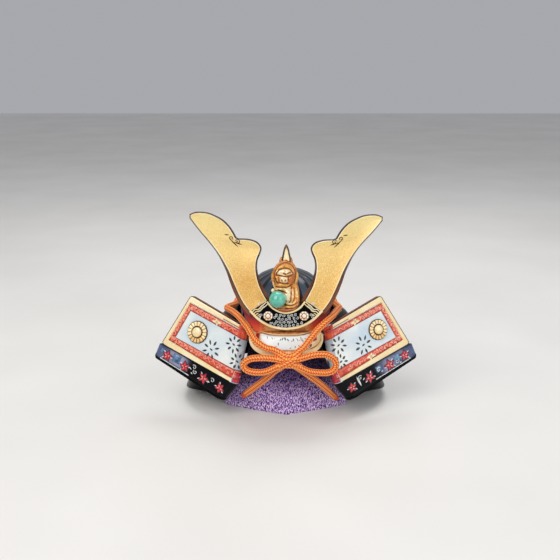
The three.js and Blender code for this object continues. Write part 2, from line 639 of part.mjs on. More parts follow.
function blade(grow) {
  const shape = new THREE.Shape();
  const top = HORN_RISE * 0.735 + grow;
  const foot = top - BLADE_LENGTH - 2 * grow;
  const half = BLADE_HALF_WIDTH + grow;
  shape.moveTo(-half, foot);
  shape.lineTo(half, foot);
  shape.lineTo(half, top - BLADE_LENGTH * 0.3);
  shape.quadraticCurveTo(half, top - BLADE_LENGTH * 0.08, 0, top);
  shape.quadraticCurveTo(-half, top - BLADE_LENGTH * 0.08, -half, top - BLADE_LENGTH * 0.3);
  const made = slab(shape, BLADE_THICKNESS + 2 * grow, 0.8, 3);
  return made.translate(0, 0, dragonZ - 0.2 * DRAGON_HALF_WIDTH - BLADE_THICKNESS / 2 - grow + 0.8);
}

// Cord: routes of its middle line, chosen by hand. It runs round the bowl above the first lame and
// over the peak's shoulders to a bow under the lip.
const CORD_ROUND = [
  [1, -59.4, 50.5], [-3, -58.4, 53.8], [-8.6, -57, 55.7], [-12.8, -56.4, 56.4], [-17, -54.6, 58.4],
  [-20.7, -51.6, 60.8], [-23.4, -47, 63.7], [-26.4, -41.6, 67], [-31.2, -33, 70], [-36.2, -24, 71.2],
  [-40, -15, 70.4], [-40.6, -8, 69.4], [-38.2, -2, 68.7], [-35.4, 4, 68.5], [-34.6, 12, 68.5],
  [-32.2, 20.5, 68.5], [-25.4, 35.6, 68.5], [-13.4, 45.2, 68.5], [0, 47.8, 68.5], [13.4, 45.2, 68.5],
  [25.4, 35.6, 68.5], [32.2, 20.5, 68.5], [34.6, 12, 68.5], [35.2, 4, 68.5], [36.8, -3, 68.5],
  [37.4, -9, 68.9], [35.6, -17, 70.1], [30.4, -36.6, 71.5], [25.5, -45.6, 70], [20.6, -49, 66.3],
  [16.2, -53.4, 62.2], [11.8, -56.6, 57.3], [7.4, -58, 55], [3, -59.4, 51.2],
];
const BOW_LEFT = [
  [1, -59.4, 49.6], [-7, -59.8, 50.2], [-12, -60, 50.8], [-16.6, -59.8, 50.8], [-22.1, -58.6, 49.9], [-26, -57.4, 47.7],
  [-27.6, -56.8, 44.9], [-26.5, -57, 42.1], [-22.9, -57.6, 40.5], [-17, -58.8, 40.4], [-12, -60, 41.8], [-7, -60.4, 44.4],
  [1, -59.6, 48],
];
const BOW_RIGHT = [
  [2, -59.4, 49.8], [9.6, -59.9, 50.6], [12.6, -60.2, 51.6], [15.8, -60.4, 52.6], [20.8, -59.8, 53.2], [26.4, -58.4, 52.3],
  [30.7, -57.2, 49.2], [32.4, -56.6, 45.4], [31.2, -56.6, 41.6], [27.3, -57, 39.6], [20.7, -58.2, 40], [14.6, -59.8, 41.6],
  [9.6, -60.4, 44.2], [2, -59.6, 48],
];
const TAIL_LEFT = [
  [0, -58.2, 46.6], [-4, -56.2, 43], [-7.6, -54.4, 39.6], [-12.2, -50.6, 33.8], [-18.7, -44, 25.9], [-24.4, -38, 19.1],
  [-29.5, -32, 12.8],
];
const TAIL_RIGHT = [
  [3, -58.2, 46.6], [7.4, -55.4, 42.6], [11, -53.6, 39.4], [16.4, -50.4, 34], [21.8, -45, 27.8], [27.2, -39, 20.8],
  [31.7, -33.6, 14.6], [35.5, -29, 9.4],
];
const KNOT = point(1.5, -59.4, 49);

const knot = (grow) => ball(
  KNOT, KNOT_HALF_WIDTH + grow, KNOT_HALF_WIDTH * 0.54 + grow, KNOT_HALF_WIDTH * 0.84 + grow, 12);
const route = (list) => list.map(([x, y, z]) => point(x, y, z));
// A cord's ends run into the knot, and are cut off at its surface.
const cord = (list, steps) => cut(tube(route(list), CORD_DIAMETER / 2, steps, CORD_SIDES), knot(GAP));

// Assembly
const helmet = new THREE.Group();
helmet.add(mesh("stand", stand(), PURPLE_CLOTH));
helmet.add(mesh("bowl", bowl(), BLACK_GLAZE));
helmet.add(mesh("peak", peak(0, PEAK_THICKNESS), WHITE_GLAZE));
for (let i = 0; i < LAME_COUNT; i++) helmet.add(mesh("neck_lame_" + (i + 1), lame(i), BLACK_GLAZE));

const crest = new THREE.Group();
crest.applyMatrix4(crestFrame);
crest.add(mesh("crest_seat", seat(), RED_GLAZE));
crest.add(mesh("crest_plate", crestPlate(), SILVER));
crest.add(mesh("crest_dragon", dragon(), GOLD));
crest.add(mesh("crest_blade", blade(0), GOLD));
crest.add(mesh("crest_pearl", ball(figurePoint(PEARL_PLACE), PEARL_RADIUS, PEARL_RADIUS, PEARL_RADIUS, 12), TURQUOISE));
helmet.add(crest);

for (const [side, sign] of [["right", 1], ["left", -1]]) {
  const half = new THREE.Group();
  half.scale.x = sign;
  half.add(mesh("turn_back_" + side, foldedPlate(
    plateCorners, TURN_BACK_THICKNESS, 0, FRAME_WIDTH, FRAME_HEIGHT, TURN_BACK_CORNER), WHITE_GLAZE));
  half.add(mesh("lowest_turn_back_" + side, foldedPlate(
    lowestCorners, LAME_THICKNESS, LOWEST_SET_BACK, 0, 0, TURN_BACK_CORNER * 0.8), BLACK_GLAZE));
  half.add(mesh("boss_" + side, boss(), GOLD));
  helmet.add(half);
  const crestHalf = new THREE.Group();
  crestHalf.scale.x = sign;
  crestHalf.add(mesh("horn_" + side, horn(), GOLD));
  crestHalf.add(mesh("rosette_" + side, rosette(0.187 * HORN_REACH, 0.158 * HORN_RISE), GOLD));
  crest.add(crestHalf);
}

helmet.add(mesh("cord_round", cord(CORD_ROUND, 40), ORANGE_CORD));
helmet.add(mesh("bow_loop_left", cord(BOW_LEFT, 14), ORANGE_CORD));
helmet.add(mesh("bow_loop_right", cord(BOW_RIGHT, 14), ORANGE_CORD));
helmet.add(mesh("cord_tail_left", cord(TAIL_LEFT, 6), ORANGE_CORD));
helmet.add(mesh("cord_tail_right", cord(TAIL_RIGHT, 6), ORANGE_CORD));
helmet.add(mesh("cord_knot", knot(0), ORANGE_CORD));

export default helmet;
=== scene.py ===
"""Display-size samurai helmet on its cloth-covered stand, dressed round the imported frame.

Lengths are in millimetres and become metres where a mesh is made.
"""
import math
import random

import bmesh
import bpy
import numpy
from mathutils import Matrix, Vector
from mathutils.geometry import tessellate_polygon


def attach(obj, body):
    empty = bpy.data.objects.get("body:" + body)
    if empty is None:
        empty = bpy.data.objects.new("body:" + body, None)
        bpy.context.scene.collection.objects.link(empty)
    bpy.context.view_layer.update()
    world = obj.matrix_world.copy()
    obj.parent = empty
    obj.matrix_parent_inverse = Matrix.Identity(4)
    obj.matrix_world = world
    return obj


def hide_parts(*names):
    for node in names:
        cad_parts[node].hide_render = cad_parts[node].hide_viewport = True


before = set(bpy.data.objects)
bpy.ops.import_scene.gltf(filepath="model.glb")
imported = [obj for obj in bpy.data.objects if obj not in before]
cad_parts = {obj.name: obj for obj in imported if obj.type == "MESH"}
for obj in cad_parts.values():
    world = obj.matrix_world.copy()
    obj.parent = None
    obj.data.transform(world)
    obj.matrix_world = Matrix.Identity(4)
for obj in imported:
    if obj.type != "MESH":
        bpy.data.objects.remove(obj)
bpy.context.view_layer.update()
MM = 0.001
rng = random.Random(11)
BODY = "root"
SIDES = (("left", -1), ("right", 1))


def vec(*values):
    return Vector(values)


def mix(a, b, t):
    return a + (b - a) * t


def clamp(x, low=0.0, high=1.0):
    return max(low, min(high, x))


def ease(x, low, high):
    t = clamp((x - low) / (high - low))
    return t * t * (3 - 2 * t)


def rounded(x):
    return math.sqrt(max(0.0, 1 - (1 - clamp(x)) ** 2))


def rgb(r, g, b):
    """Linear colour from 0 to 255 display values."""
    parts = [v / 255 for v in (r, g, b)]
    return tuple(v / 12.92 if v < 0.04045 else ((v + 0.055) / 1.055) ** 2.4 for v in parts) + (1.0,)


def add_object(name, data):
    obj = bpy.data.objects.new(name, data)
    bpy.context.scene.collection.objects.link(obj)
    return obj


# Camera: at the photograph's place and angle
CAMERA_PLACE = (-0.004, -0.570, 0.240)
CAMERA_LENS = 54.06
CAMERA_SENSOR = 36
CAMERA_DOWN = 15.05

camera = add_object("camera", bpy.data.cameras.new("camera"))
camera.data.sensor_width = CAMERA_SENSOR
camera.data.lens = CAMERA_LENS
camera.location = CAMERA_PLACE
camera.rotation_euler = (math.radians(90 - CAMERA_DOWN), 0, 0)
bpy.context.scene.camera = camera


# Curves
DASH_STEPS = 6


def tangent(points, k):
    return (points[min(len(points) - 1, k + 1)] - points[max(0, k - 1)]).normalized()


def spline(points, per_span):
    """Points of a smooth curve through the given ones."""
    pts = [Vector(p) for p in points]
    out = []
    for k in range(len(pts) - 1):
        p1, p2 = pts[k], pts[k + 1]
        p0 = pts[k - 1] if k else p1 * 2 - p2
        p3 = pts[k + 2] if k + 2 < len(pts) else p2 * 2 - p1
        for i in range(per_span):
            t = i / per_span
            out.append(0.5 * (2 * p1 + (p2 - p0) * t + (2 * p0 - 5 * p1 + 4 * p2 - p3) * t * t
                              + (3 * p1 - p0 - 3 * p2 + p3) * t ** 3))
    return out + [pts[-1]]


def even(points, step):
    """The same line with points a step apart."""
    length = sum((b - a).length for a, b in zip(points, points[1:]))
    count = max(2, round(length / step))
    out, k, done = [points[0].copy()], 0, 0.0
    for i in range(1, count):
        want = length * i / count
        while k < len(points) - 2 and done + (points[k + 1] - points[k]).length < want:
            done += (points[k + 1] - points[k]).length
            k += 1
        span = (points[k + 1] - points[k]).length
        out.append(points[k].lerp(points[k + 1], (want - done) / span))
    return out + [points[-1].copy()]


def spiral(x, y, radius, turns, start, hand=1, steps=14):
    """A curl from its rim to its middle."""
    out = []
    for i in range(steps + 1):
        t = i / steps
        angle = start + hand * turns * 2 * math.pi * t
        out.append(vec(x + radius * (1 - 0.85 * t) * math.cos(angle),
                       y + radius * (1 - 0.85 * t) * math.sin(angle)))
    return out


def dash(a, b, width):
    """A leaf-shaped stroke: its line and its widths."""
    shares = [i / DASH_STEPS for i in range(DASH_STEPS + 1)]
    return [vec(*a).lerp(vec(*b), t) for t in shares], [
        width * max(0.12, math.sin(math.pi * (0.08 + 0.86 * t))) for t in shares]


def line(points, width):
    return points, [width] * len(points)


# Meshes
def ring_faces(base, rings, n):
    """Quads between rings of n points, the first point of which is number base."""
    return [(base + k * n + i, base + k * n + (i + 1) % n, base + (k + 1) * n + (i + 1) % n,
             base + (k + 1) * n + i)
            for k in range(rings - 1) for i in range(n)]


def repaint(obj, material):
    for entry in obj.material_slots:
        entry.material = material


def piece(name, verts, faces, materials, slot, face_materials=None, replaces=(), sharp=None, attributes=None):
    data = bpy.data.meshes.new(name)
    data.from_pydata([tuple(v * MM) for v in verts], [], faces)
    for material in materials:
        data.materials.append(material)
    if face_materials:
        data.polygons.foreach_set("material_index", face_materials)
    for key, values in (attributes or {}).items():
        data.attributes.new(key, "FLOAT", "POINT").data.foreach_set("value", values)
    shape = bmesh.new()
    shape.from_mesh(data)
    bmesh.ops.recalc_face_normals(shape, faces=shape.faces)
    shape.to_mesh(data)
    shape.free()
    data.polygons.foreach_set("use_smooth", [True] * len(data.polygons))
    if sharp:
        data.set_sharp_from_angle(angle=math.radians(sharp))
    obj = add_object(name, data)
    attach(obj, BODY)
    if replaces:
        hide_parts(*replaces)
    return obj


def shell(name, columns, rows, front, back, materials, slot, face_material=None, ring=False, **rest):
    """A closed wall between a front and a back grid of points."""
    verts = [side(i, j) for side in (front, back) for i in range(columns) for j in range(rows)]
    faces, kinds = [], []

    def at(side, i, j):
        return (side * columns + i % columns) * rows + j

    def add(quad, side, i, j):
        faces.append(quad)
        kinds.append(face_material(side, i, j) if face_material else 0)

    for i in range(columns if ring else columns - 1):
        for j in range(rows - 1):
            add((at(0, i, j), at(0, i + 1, j), at(0, i + 1, j + 1), at(0, i, j + 1)), 0, i, j)
            add((at(1, i, j + 1), at(1, i + 1, j + 1), at(1, i + 1, j), at(1, i, j)), 1, i, j)
        add((at(0, i + 1, 0), at(0, i, 0), at(1, i, 0), at(1, i + 1, 0)), 2, i, 0)
        add((at(0, i, rows - 1), at(0, i + 1, rows - 1), at(1, i + 1, rows - 1), at(1, i, rows - 1)), 2, i,
            rows - 2)
    if not ring:
        last = columns - 1
        for j in range(rows - 1):
            add((at(0, 0, j), at(0, 0, j + 1), at(1, 0, j + 1), at(1, 0, j)), 2, 0, j)
            add((at(0, last, j + 1), at(0, last, j), at(1, last, j), at(1, last, j + 1)), 2, last - 1, j)
    return piece(name, verts, faces, materials, slot, kinds, **rest)


def offset(outline, distance):
    """The outline grown by a distance, which may be a function of the place."""
    out, n = [], len(outline)
    for k, p in enumerate(outline):
        grow = distance(p) if callable(distance) else distance
        e1 = (p - outline[k - 1]).normalized()
        e2 = (outline[(k + 1) % n] - p).normalized()
        n1, n2 = vec(e1.y, -e1.x), vec(e2.y, -e2.x)
        m = (n1 + n2).normalized()
        out.append(p + m * grow / max(0.5, m.dot(n1)))
    return out


def tidy_outline(points):
    """A closed outline that runs anticlockwise, without repeated points."""
    out = []
    for p in points:
        if not out or (p - out[-1]).length > 0.02:
            out.append(p)
    if (out[0] - out[-1]).length < 0.02:
        out.pop()
    area = sum(out[k - 1].x * p.y - p.x * out[k - 1].y for k, p in enumerate(out))
    return out if area > 0 else out[::-1]


def slab(name, outline, rings, place, materials, slot, kinds, **rest):
    """A flat form: rings of (growth, height) from its front face to its back, each band with its material."""
    n = len(outline)
    verts = []
    for grow, height in rings:
        verts += [place(p.x, p.y, height) for p in offset(outline, grow)]
    caps = tessellate_polygon([[Vector((p.x, p.y, 0)) for p in outline]])
    faces = [tuple(t) for t in caps]
    face_kinds = [kinds[0]] * len(faces)
    faces += ring_faces(0, len(rings), n)
    face_kinds += [kinds[k + 1] for k in range(len(rings) - 1) for _ in range(n)]
    base = (len(rings) - 1) * n
    faces += [tuple(base + v for v in reversed(t)) for t in caps]
    face_kinds += [kinds[-1]] * len(caps)
    return piece(name, verts, faces, materials, slot, face_kinds, **rest)


def strokes(name, paths, place, material, slot, height=0.12, sink=0.08):
    """Low ridges along lines: paint, engraving or relief. Each path is (points, widths)."""
    verts, faces = [], []
    for points, widths in paths:
        base, n = len(verts), len(points)
        for k, p in enumerate(points):
            t = tangent(points, k)
            s = vec(-t.y, t.x) * (widths[k] / 2)
            verts += [place(p.x + s.x, p.y + s.y, -sink), place(p.x + s.x * 0.7, p.y + s.y * 0.7, height),
                      place(p.x - s.x * 0.7, p.y - s.y * 0.7, height), place(p.x - s.x, p.y - s.y, -sink)]
        for k in range(n - 1):
            a = base + 4 * k
            faces += [(a + q, a + (q + 1) % 4, a + 4 + (q + 1) % 4, a + 4 + q) for q in range(4)]
        end = base + 4 * (n - 1)
        faces += [(base, base + 3, base + 2, base + 1), (end, end + 1, end + 2, end + 3)]
    return piece(name, verts, faces, [material], slot, sharp=40)


def patch(name, columns, rows, at, height, material, slot, sink=0.08):
    """A thin painted area on a surface: at(i, j, h) gives its points."""
    return shell(name, columns, rows, lambda i, j: at(i, j, height), lambda i, j: at(i, j, -sink), [material],
                 slot)


# Materials. Colours are display values from 0 to 255.
COAT_ROUGHNESS = 0.2
NONE, FULL = (0, 0, 0), (255, 255, 255)
# How far the painted sheen pales the gold at the top
TOP_SHEEN_SHARE = (0.75, 0.75, 0.75, 1)
ALONG_X, ALONG_Z = 0, 2


class Shader:
    """A material with small helpers that add its nodes."""

    def __init__(self, name, roughness, metallic=0.0, coat=0.0, sheen=0.0, specular=0.5):
        self.material = bpy.data.materials.new(name)
        self.material.use_nodes = True
        self.tree = self.material.node_tree
        self.bsdf = self.tree.nodes["Principled BSDF"]
        uniform = {"Roughness": roughness, "Metallic": metallic, "Coat Weight": coat,
                   "Coat Roughness": COAT_ROUGHNESS, "Sheen Weight": sheen, "Specular IOR Level": specular}
        for socket, value in uniform.items():
            self.bsdf.inputs[socket].default_value = value
        self.coords = self.node("ShaderNodeTexCoord").outputs["Object"]

    def node(self, kind, inputs=None, **settings):
        """A new node. Each input is a value, or the socket that feeds it."""
        made = self.tree.nodes.new(kind)
        for key, value in settings.items():
            setattr(made, key, value)
        for key, value in (inputs or {}).items():
            if isinstance(value, bpy.types.NodeSocket):
                self.tree.links.new(value, made.inputs[key])
            else:
                made.inputs[key].default_value = value
        return made

    def noise(self, scale, detail=3.0, roughness=0.55, distortion=0.0, stretch=None):
        source = self.coords
        if stretch:
            source = self.node("ShaderNodeMapping", {"Vector": source, "Scale": stretch}).outputs["Vector"]
        inputs = {"Vector": source, "Scale": scale, "Detail": detail, "Roughness": roughness,
                  "Distortion": distortion}
        return self.node("ShaderNodeTexNoise", inputs).outputs["Fac"]

    def cells(self, scale):
        return self.node("ShaderNodeTexVoronoi", {"Vector": self.coords, "Scale": scale}).outputs["Distance"]

    def attribute(self, name):
        return self.node("ShaderNodeAttribute", attribute_name=name).outputs["Fac"]

    def axis(self, which, low, high):
        """0 to 1 as an object coordinate goes from low to high, in millimetres."""
        split = self.node("ShaderNodeSeparateXYZ", {"Vector": self.coords})
        inputs = {"Value": split.outputs[which], "From Min": low * MM, "From Max": high * MM}
        return self.node("ShaderNodeMapRange", inputs).outputs["Result"]

    def ramp(self, factor, stops):
        """Colours along a factor. One with four values is linear already."""
        made = self.node("ShaderNodeValToRGB", {"Fac": factor})
        bar = made.color_ramp.elements
        while len(bar) < len(stops):
            bar.new(0.5)
        for element, (place, color) in zip(bar, stops):
            element.position = place
            element.color = color if len(color) == 4 else rgb(*color)
        return made.outputs["Color"]

    def blend(self, factor, a, b, how="MIX"):
        return self.node("ShaderNodeMix", {0: factor, 6: a, 7: b}, data_type="RGBA",
                         blend_type=how).outputs[2]

    def feed(self, socket, source):
        self.tree.links.new(source, self.bsdf.inputs[socket])

    def color(self, source):
        self.feed("Base Color", source)

    def rough(self, factor, low, high):
        inputs = {"Value": factor, "To Min": low, "To Max": high}
        self.feed("Roughness", self.node("ShaderNodeMapRange", inputs).outputs["Result"])

    def bump(self, height, strength, distance):
        inputs = {"Height": height, "Strength": strength, "Distance": distance * MM}
        self.feed("Normal", self.node("ShaderNodeBump", inputs).outputs["Normal"])


def glaze(name, dark, light, roughness, scale, coat=0.5, specular=0.5, spread=0.15):
    """A glossy glaze whose colour pools a little and whose surface waves slightly."""
    s = Shader(name, roughness, coat=coat, specular=specular)
    s.color(s.ramp(s.noise(scale, 4), [(0.5 - spread, dark), (0.5 + spread, light)]))
    s.bump(s.noise(220, 2), 0.05, 0.4)
    return s.material


def gold(name, dark, light, pale, speckle, roughness, metallic, contrast, top_sheen=None):
    """Satin gold: a fine speckle, broad warmer and paler areas, and a painted sheen that pales it toward the top.
    """
    s = Shader(name, roughness, metallic=metallic, coat=0.1)
    grain = s.noise(speckle, 2, 0.6)
    fine = s.ramp(grain, [(0.5 - contrast, dark), (0.5, light), (0.5 + contrast, pale)])
    broad = s.ramp(s.noise(34, 3), [(0.3, (240, 226, 206)), (0.65, FULL)])
    color = s.blend(1.0, fine, broad, "MULTIPLY")
    # painted highlight: a broad sheen that pales the gold toward the top of the horns
    if top_sheen:
        color = s.blend(s.ramp(s.axis(ALONG_Z, 96, 142), [(0, NONE), (1, TOP_SHEEN_SHARE)]), color, rgb(*top_sheen))
    s.color(color)
    s.rough(grain, roughness - 0.05, roughness + 0.1)
    s.bump(grain, 0.15, 0.1)
    return s.material


def horn_side():
    s = Shader("brown_side", 0.3, metallic=0.35, coat=0.3)
    s.color(s.ramp(s.axis(ALONG_Z, 66, 110), [(0.0, (128, 44, 38)), (0.3, (132, 74, 40)),
                                              (1.0, (64, 38, 20))]))
    s.bump(s.noise(300, 3), 0.1, 0.3)
    return s.material


def seat_glaze():
    """Red that darkens upwards, with an orange gold wash low in the middle."""
    s = Shader("red_seat", 0.2, coat=0.4)
    red = s.ramp(s.axis(ALONG_Z, 63, 84), [
        (0.0, (238, 90, 40)), (0.22, (212, 50, 32)), (0.5, (130, 24, 36)), (1.0, (62, 20, 36))])
    wash = s.ramp(s.noise(420, 3), [(0.36, (212, 112, 40)), (0.5, (240, 156, 76)), (0.66, (252, 200, 124))])
    middle = s.ramp(s.axis(ALONG_X, -18, 18), [(0.0, NONE), (0.14, FULL), (0.86, FULL), (1.0, NONE)])
    low = s.ramp(s.axis(ALONG_Z, 63, 84), [(0.16, FULL), (0.3, NONE)])
    s.color(s.blend(s.blend(1.0, middle, low, "MULTIPLY"), red, wash))
    s.bump(s.noise(200, 2), 0.06, 0.4)
    return s.material


def slate_glaze():
    """Black, with a drifting blue-grey painted reflection where the mesh's blue attribute lets it through."""
    s = Shader("slate_glaze", 0.28, coat=0.05, specular=0.12)
    blue = s.ramp(s.noise(60, 3, 0.5, 0.6), [(0.35, (78, 92, 128)), (0.5, (120, 128, 160)),
                                             (0.68, (176, 172, 200))])
    s.color(s.blend(s.attribute("blue"), rgb(8, 8, 12), blue))
    s.bump(s.noise(220, 2), 0.05, 0.4)
    return s.material


def bowl_glaze():
    """Blue-grey painted reflection that darkens upwards, with black ribs."""
    s = Shader("bowl_glaze", 0.22, coat=0.35, specular=0.35)
    # painted reflection: lavender low on the bowl, darkening to slate toward the top
    reflected_sky = s.ramp(s.axis(ALONG_Z, 66, 92), [
        (0.0, (180, 168, 192)), (0.35, (142, 144, 168)), (0.7, (70, 86, 106)), (1.0, (36, 46, 56))])
    s.color(s.blend(s.ramp(s.attribute("rib"), [(0.35, NONE), (0.5, FULL)]), reflected_sky, rgb(14, 14, 20)))
    s.bump(s.noise(160, 3), 0.08, 0.5)
    return s.material


def pearl_glaze():
    s = Shader("turquoise_glaze", 0.08, coat=1.0)
    s.color(s.ramp(s.noise(150, 4, 0.6, 0.8), [
        (0.3, (58, 158, 140)), (0.55, (98, 196, 172)), (0.75, (146, 226, 214))]))
    s.bump(s.noise(500, 2), 0.05, 0.2)
    return s.material


def dragon_gold():
    """From dark brown in the grooves to cream on the face and on painted highlight streaks, after the mesh's tone
    attribute.
    """
    s = Shader("dragon_gold", 0.3, metallic=0.12, coat=0.4)
    tone = s.ramp(s.attribute("tone"), [
        (0.0, (40, 18, 8)), (0.2, (132, 56, 18)), (0.45, (206, 126, 40)), (0.68, (240, 186, 92)),
        (1.0, (252, 242, 206))])
    s.color(s.blend(1.0, tone, s.ramp(s.noise(700, 3), [(0.35, (214, 190, 160)), (0.6, FULL)]), "MULTIPLY"))
    s.bump(s.cells(900), 0.12, 0.2)
    return s.material


def flower_gold(name, stops):
    s = Shader(name, 0.3, metallic=0.15, coat=0.2)
    s.color(s.ramp(s.attribute("relief"), stops))
    s.bump(s.noise(900, 2), 0.12, 0.15)
    return s.material


def braided_silk():
    s = Shader("braided_cord", 0.6, sheen=0.08, specular=0.25)
    # painted light: the crests of the braided stitches turn golden as a highlight, and the hollows between them
    # turn dark red as shade
    stitch_light = s.ramp(s.attribute("relief"), [
        (0.0, (88, 12, 2)), (0.36, (176, 42, 10)), (0.62, (232, 98, 32)), (0.88, (255, 192, 104))])
    s.color(s.blend(0.2, stitch_light, s.ramp(s.noise(3000, 2), [(0.3, (190, 60, 20)), (0.7, (250, 150, 76))])))
    s.bump(s.noise(5000, 2), 0.3, 0.1)
    return s.material


def bound_silk():
    s = Shader("bound_tip", 0.5, sheen=0.08, specular=0.25)
    s.color(s.ramp(s.noise(2500, 2), [(0.35, (176, 48, 22)), (0.65, (232, 98, 56))]))
    s.bump(s.noise(4000, 2), 0.3, 0.1)
    return s.material


def crepe():
    """Purple crinkle with painted highlights on its ridges and painted shade in its hollows, falling into painted
    shade upwards.
    """
    s = Shader("purple_crepe", 0.9, sheen=0.15, specular=0.1)
    grain = s.noise(1750, 1.0, 0.5, 0.5, (1.0, 1.0, 0.42))
    # painted light: the crinkle noise pales its ridges toward lilac white and darkens its hollows
    tone = s.ramp(grain, [(0.4, (54, 26, 92)), (0.5, (156, 110, 200)), (0.58, (250, 228, 255))])
    shade = s.ramp(s.axis(ALONG_Z, 2, 50), [
        (0.0, (255, 252, 255)), (0.2, (246, 238, 250)), (0.44, (136, 124, 150)), (0.7, (76, 70, 94)),
        (1.0, (52, 48, 70))])
    s.color(s.blend(1.0, tone, shade, "MULTIPLY"))
    s.bump(grain, 0.6, 0.45)
    return s.material


# The horns' gold: its last colour is the painted sheen toward the top
GOLD = gold("gold_face", (212, 158, 80), (242, 196, 112), (254, 226, 158), 1900, 0.42, 0.3, 0.18,
            (242, 230, 164))
CREAM = gold("cream_gold", (246, 220, 160), (252, 236, 192), (254, 246, 214), 110, 0.28, 0.06, 0.3)
BROWN = horn_side()
WHITE = glaze("white_glaze", (196, 214, 226), (236, 240, 236), 0.3, 46, 0.3)
# painted shade: a darker grey-blue copy of the white glaze for the plates' folded inner ends
SHADED_FOLD_WHITE = glaze("white_glaze_fold_shaded", (150, 166, 182), (204, 214, 220), 0.14, 120, 0.6, spread=0.2)
RED = glaze("red_band", (190, 38, 22), (232, 96, 52), 0.25, 420)
DEEP_RED = glaze("deep_red", (146, 26, 30), (196, 50, 44), 0.18, 200)
PINK = glaze("pale_scroll", (240, 176, 150), (255, 220, 196), 0.3, 500, 0.2)
RED_LINE = glaze("red_line", (116, 40, 26), (150, 60, 36), 0.3, 300, 0.2)
INK = glaze("ink", (18, 22, 22), (62, 66, 64), 0.35, 600, 0.1)
# painted light: a brighter copy of the white glaze that lifts the peak's shaded panel
LIT_PANEL_WHITE = glaze("panel_white_lit", (222, 234, 236), (254, 254, 248), 0.3, 60, 0.3)
OUTLINE = glaze("dark_outline", (16, 10, 8), (52, 32, 20), 0.35, 500, 0.1, 0.3)
BLACK = glaze("black_glaze", (1, 1, 2), (5, 5, 8), 0.3, 60, 0.04, 0.06)
SILVER = glaze("silver_scroll", (176, 182, 184), (244, 246, 240), 0.32, 700, 0.1)
HALO = glaze("pale_halo", (196, 170, 184), (250, 236, 242), 0.25, 900)
CROSS = glaze("cross_red", (176, 16, 40), (222, 62, 84), 0.25, 700)
SEAT = seat_glaze()
SLATE = slate_glaze()
TILE = glaze("blue_tile", (34, 70, 116), (112, 150, 186), 0.2, 300)
ORANGE_GOLD = gold("orange_gold", (206, 112, 44), (232, 150, 74), (250, 196, 120), 420, 0.28, 0.2, 0.14)
BOWL = bowl_glaze()
TURQUOISE = pearl_glaze()
DRAGON = dragon_gold()
BOSS = flower_gold("boss_gold", [(0, (34, 20, 10)), (0.3, (184, 120, 60)), (0.6, (236, 196, 124)),
                                 (1, (254, 242, 200))])
ROSETTE = flower_gold("rosette_gold", [
    (0, (24, 14, 12)), (0.3, (176, 104, 62)), (0.6, (240, 204, 166)), (1, (255, 246, 230))])
BRAID = braided_silk()
TIP = bound_silk()
CREPE = crepe()


# Cords: one line each, in the places of the frame's cord solids
CORD_DIAMETER = 4.4
BRAID_PITCH = 1.75
BRAID_COLUMNS = 6
BRAID_SIDES = 24
BRAID_STEP = 0.3
KNOT_SHARE = 0.92
TIP_LENGTH = 5.0
CORD_AXIS_Y = 6
CORD_ROUND = [
    (-1.5, -59.8, 52.2), (-4.6, -58.8, 54.2), (-8.6, -57.4, 55.7), (-12.8, -56.4, 56.4), (-17, -54.6, 58.4),
    (-20.7, -51.6, 60.8), (-23.4, -47, 63.7), (-26.4, -41.6, 67), (-31.2, -33, 70), (-36.2, -24, 71.2),
    (-40, -15, 70.4),
    (-40.6, -8, 69.4), (-38.2, -2, 68.7), (-35.4, 4, 68.5), (-34.6, 12, 68.5), (-32.2, 20.5, 68.5),
    (-25.4, 35.6, 68.5),
    (-13.4, 45.2, 68.5), (0, 47.8, 68.5), (13.4, 45.2, 68.5), (25.4, 35.6, 68.5), (32.2, 20.5, 68.5),
    (34.6, 12, 68.5),
    (35.2, 4, 68.5), (36.8, -3, 68.5), (37.4, -9, 68.9), (35.6, -17, 70.1), (30.4, -36.6, 71.5),
    (25.5, -45.6, 70),
    (20.6, -49, 66.3), (16.2, -53.4, 62.2), (11.8, -56.6, 57.3), (8, -58.4, 54.6), (4.6, -60, 52)]
BOW_LEFT = [
    (-2.5, -60.4, 50), (-7, -60.2, 50.2), (-12, -60, 50.8), (-16.6, -59.8, 50.8), (-22.1, -58.6, 49.9),
    (-26, -57.4, 47.7), (-27.6, -56.8, 44.9), (-26.5, -57, 42.1), (-22.9, -57.6, 40.5), (-17, -58.8, 40.4),
    (-12, -60, 41.8), (-7, -60.6, 44.4), (-2.5, -61, 46.6)]
BOW_RIGHT = [
    (5.5, -60.4, 50), (9.6, -60, 50.6), (12.6, -60.2, 51.6), (15.8, -60.4, 52.6), (20.8, -59.8, 53.2),
    (26.4, -58.4, 52.3), (30.7, -57.2, 49.2), (32.4, -56.6, 45.4), (31.2, -56.6, 41.6), (27.3, -57, 39.6),
    (20.7, -58.2, 40), (14.6, -59.8, 41.6), (9.6, -60.6, 44.2), (5.5, -61, 46.6)]
TAIL_LEFT = [
    (-1.6, -58.6, 45.4), (-4, -57, 43), (-7.6, -54.4, 39.6), (-12.2, -50.6, 33.8), (-18.7, -44, 25.9),
    (-24.4, -38, 19.1),
    (-29.5, -32, 12.8)]
TAIL_RIGHT = [
    (4.6, -58.4, 45.4), (7.4, -56.2, 42.8), (11, -53.8, 39.4), (16.4, -50.4, 34), (21.8, -45, 27.8),
    (27.2, -39, 20.8),
    (31.7, -33.6, 14.6), (35.5, -29, 9.4)]


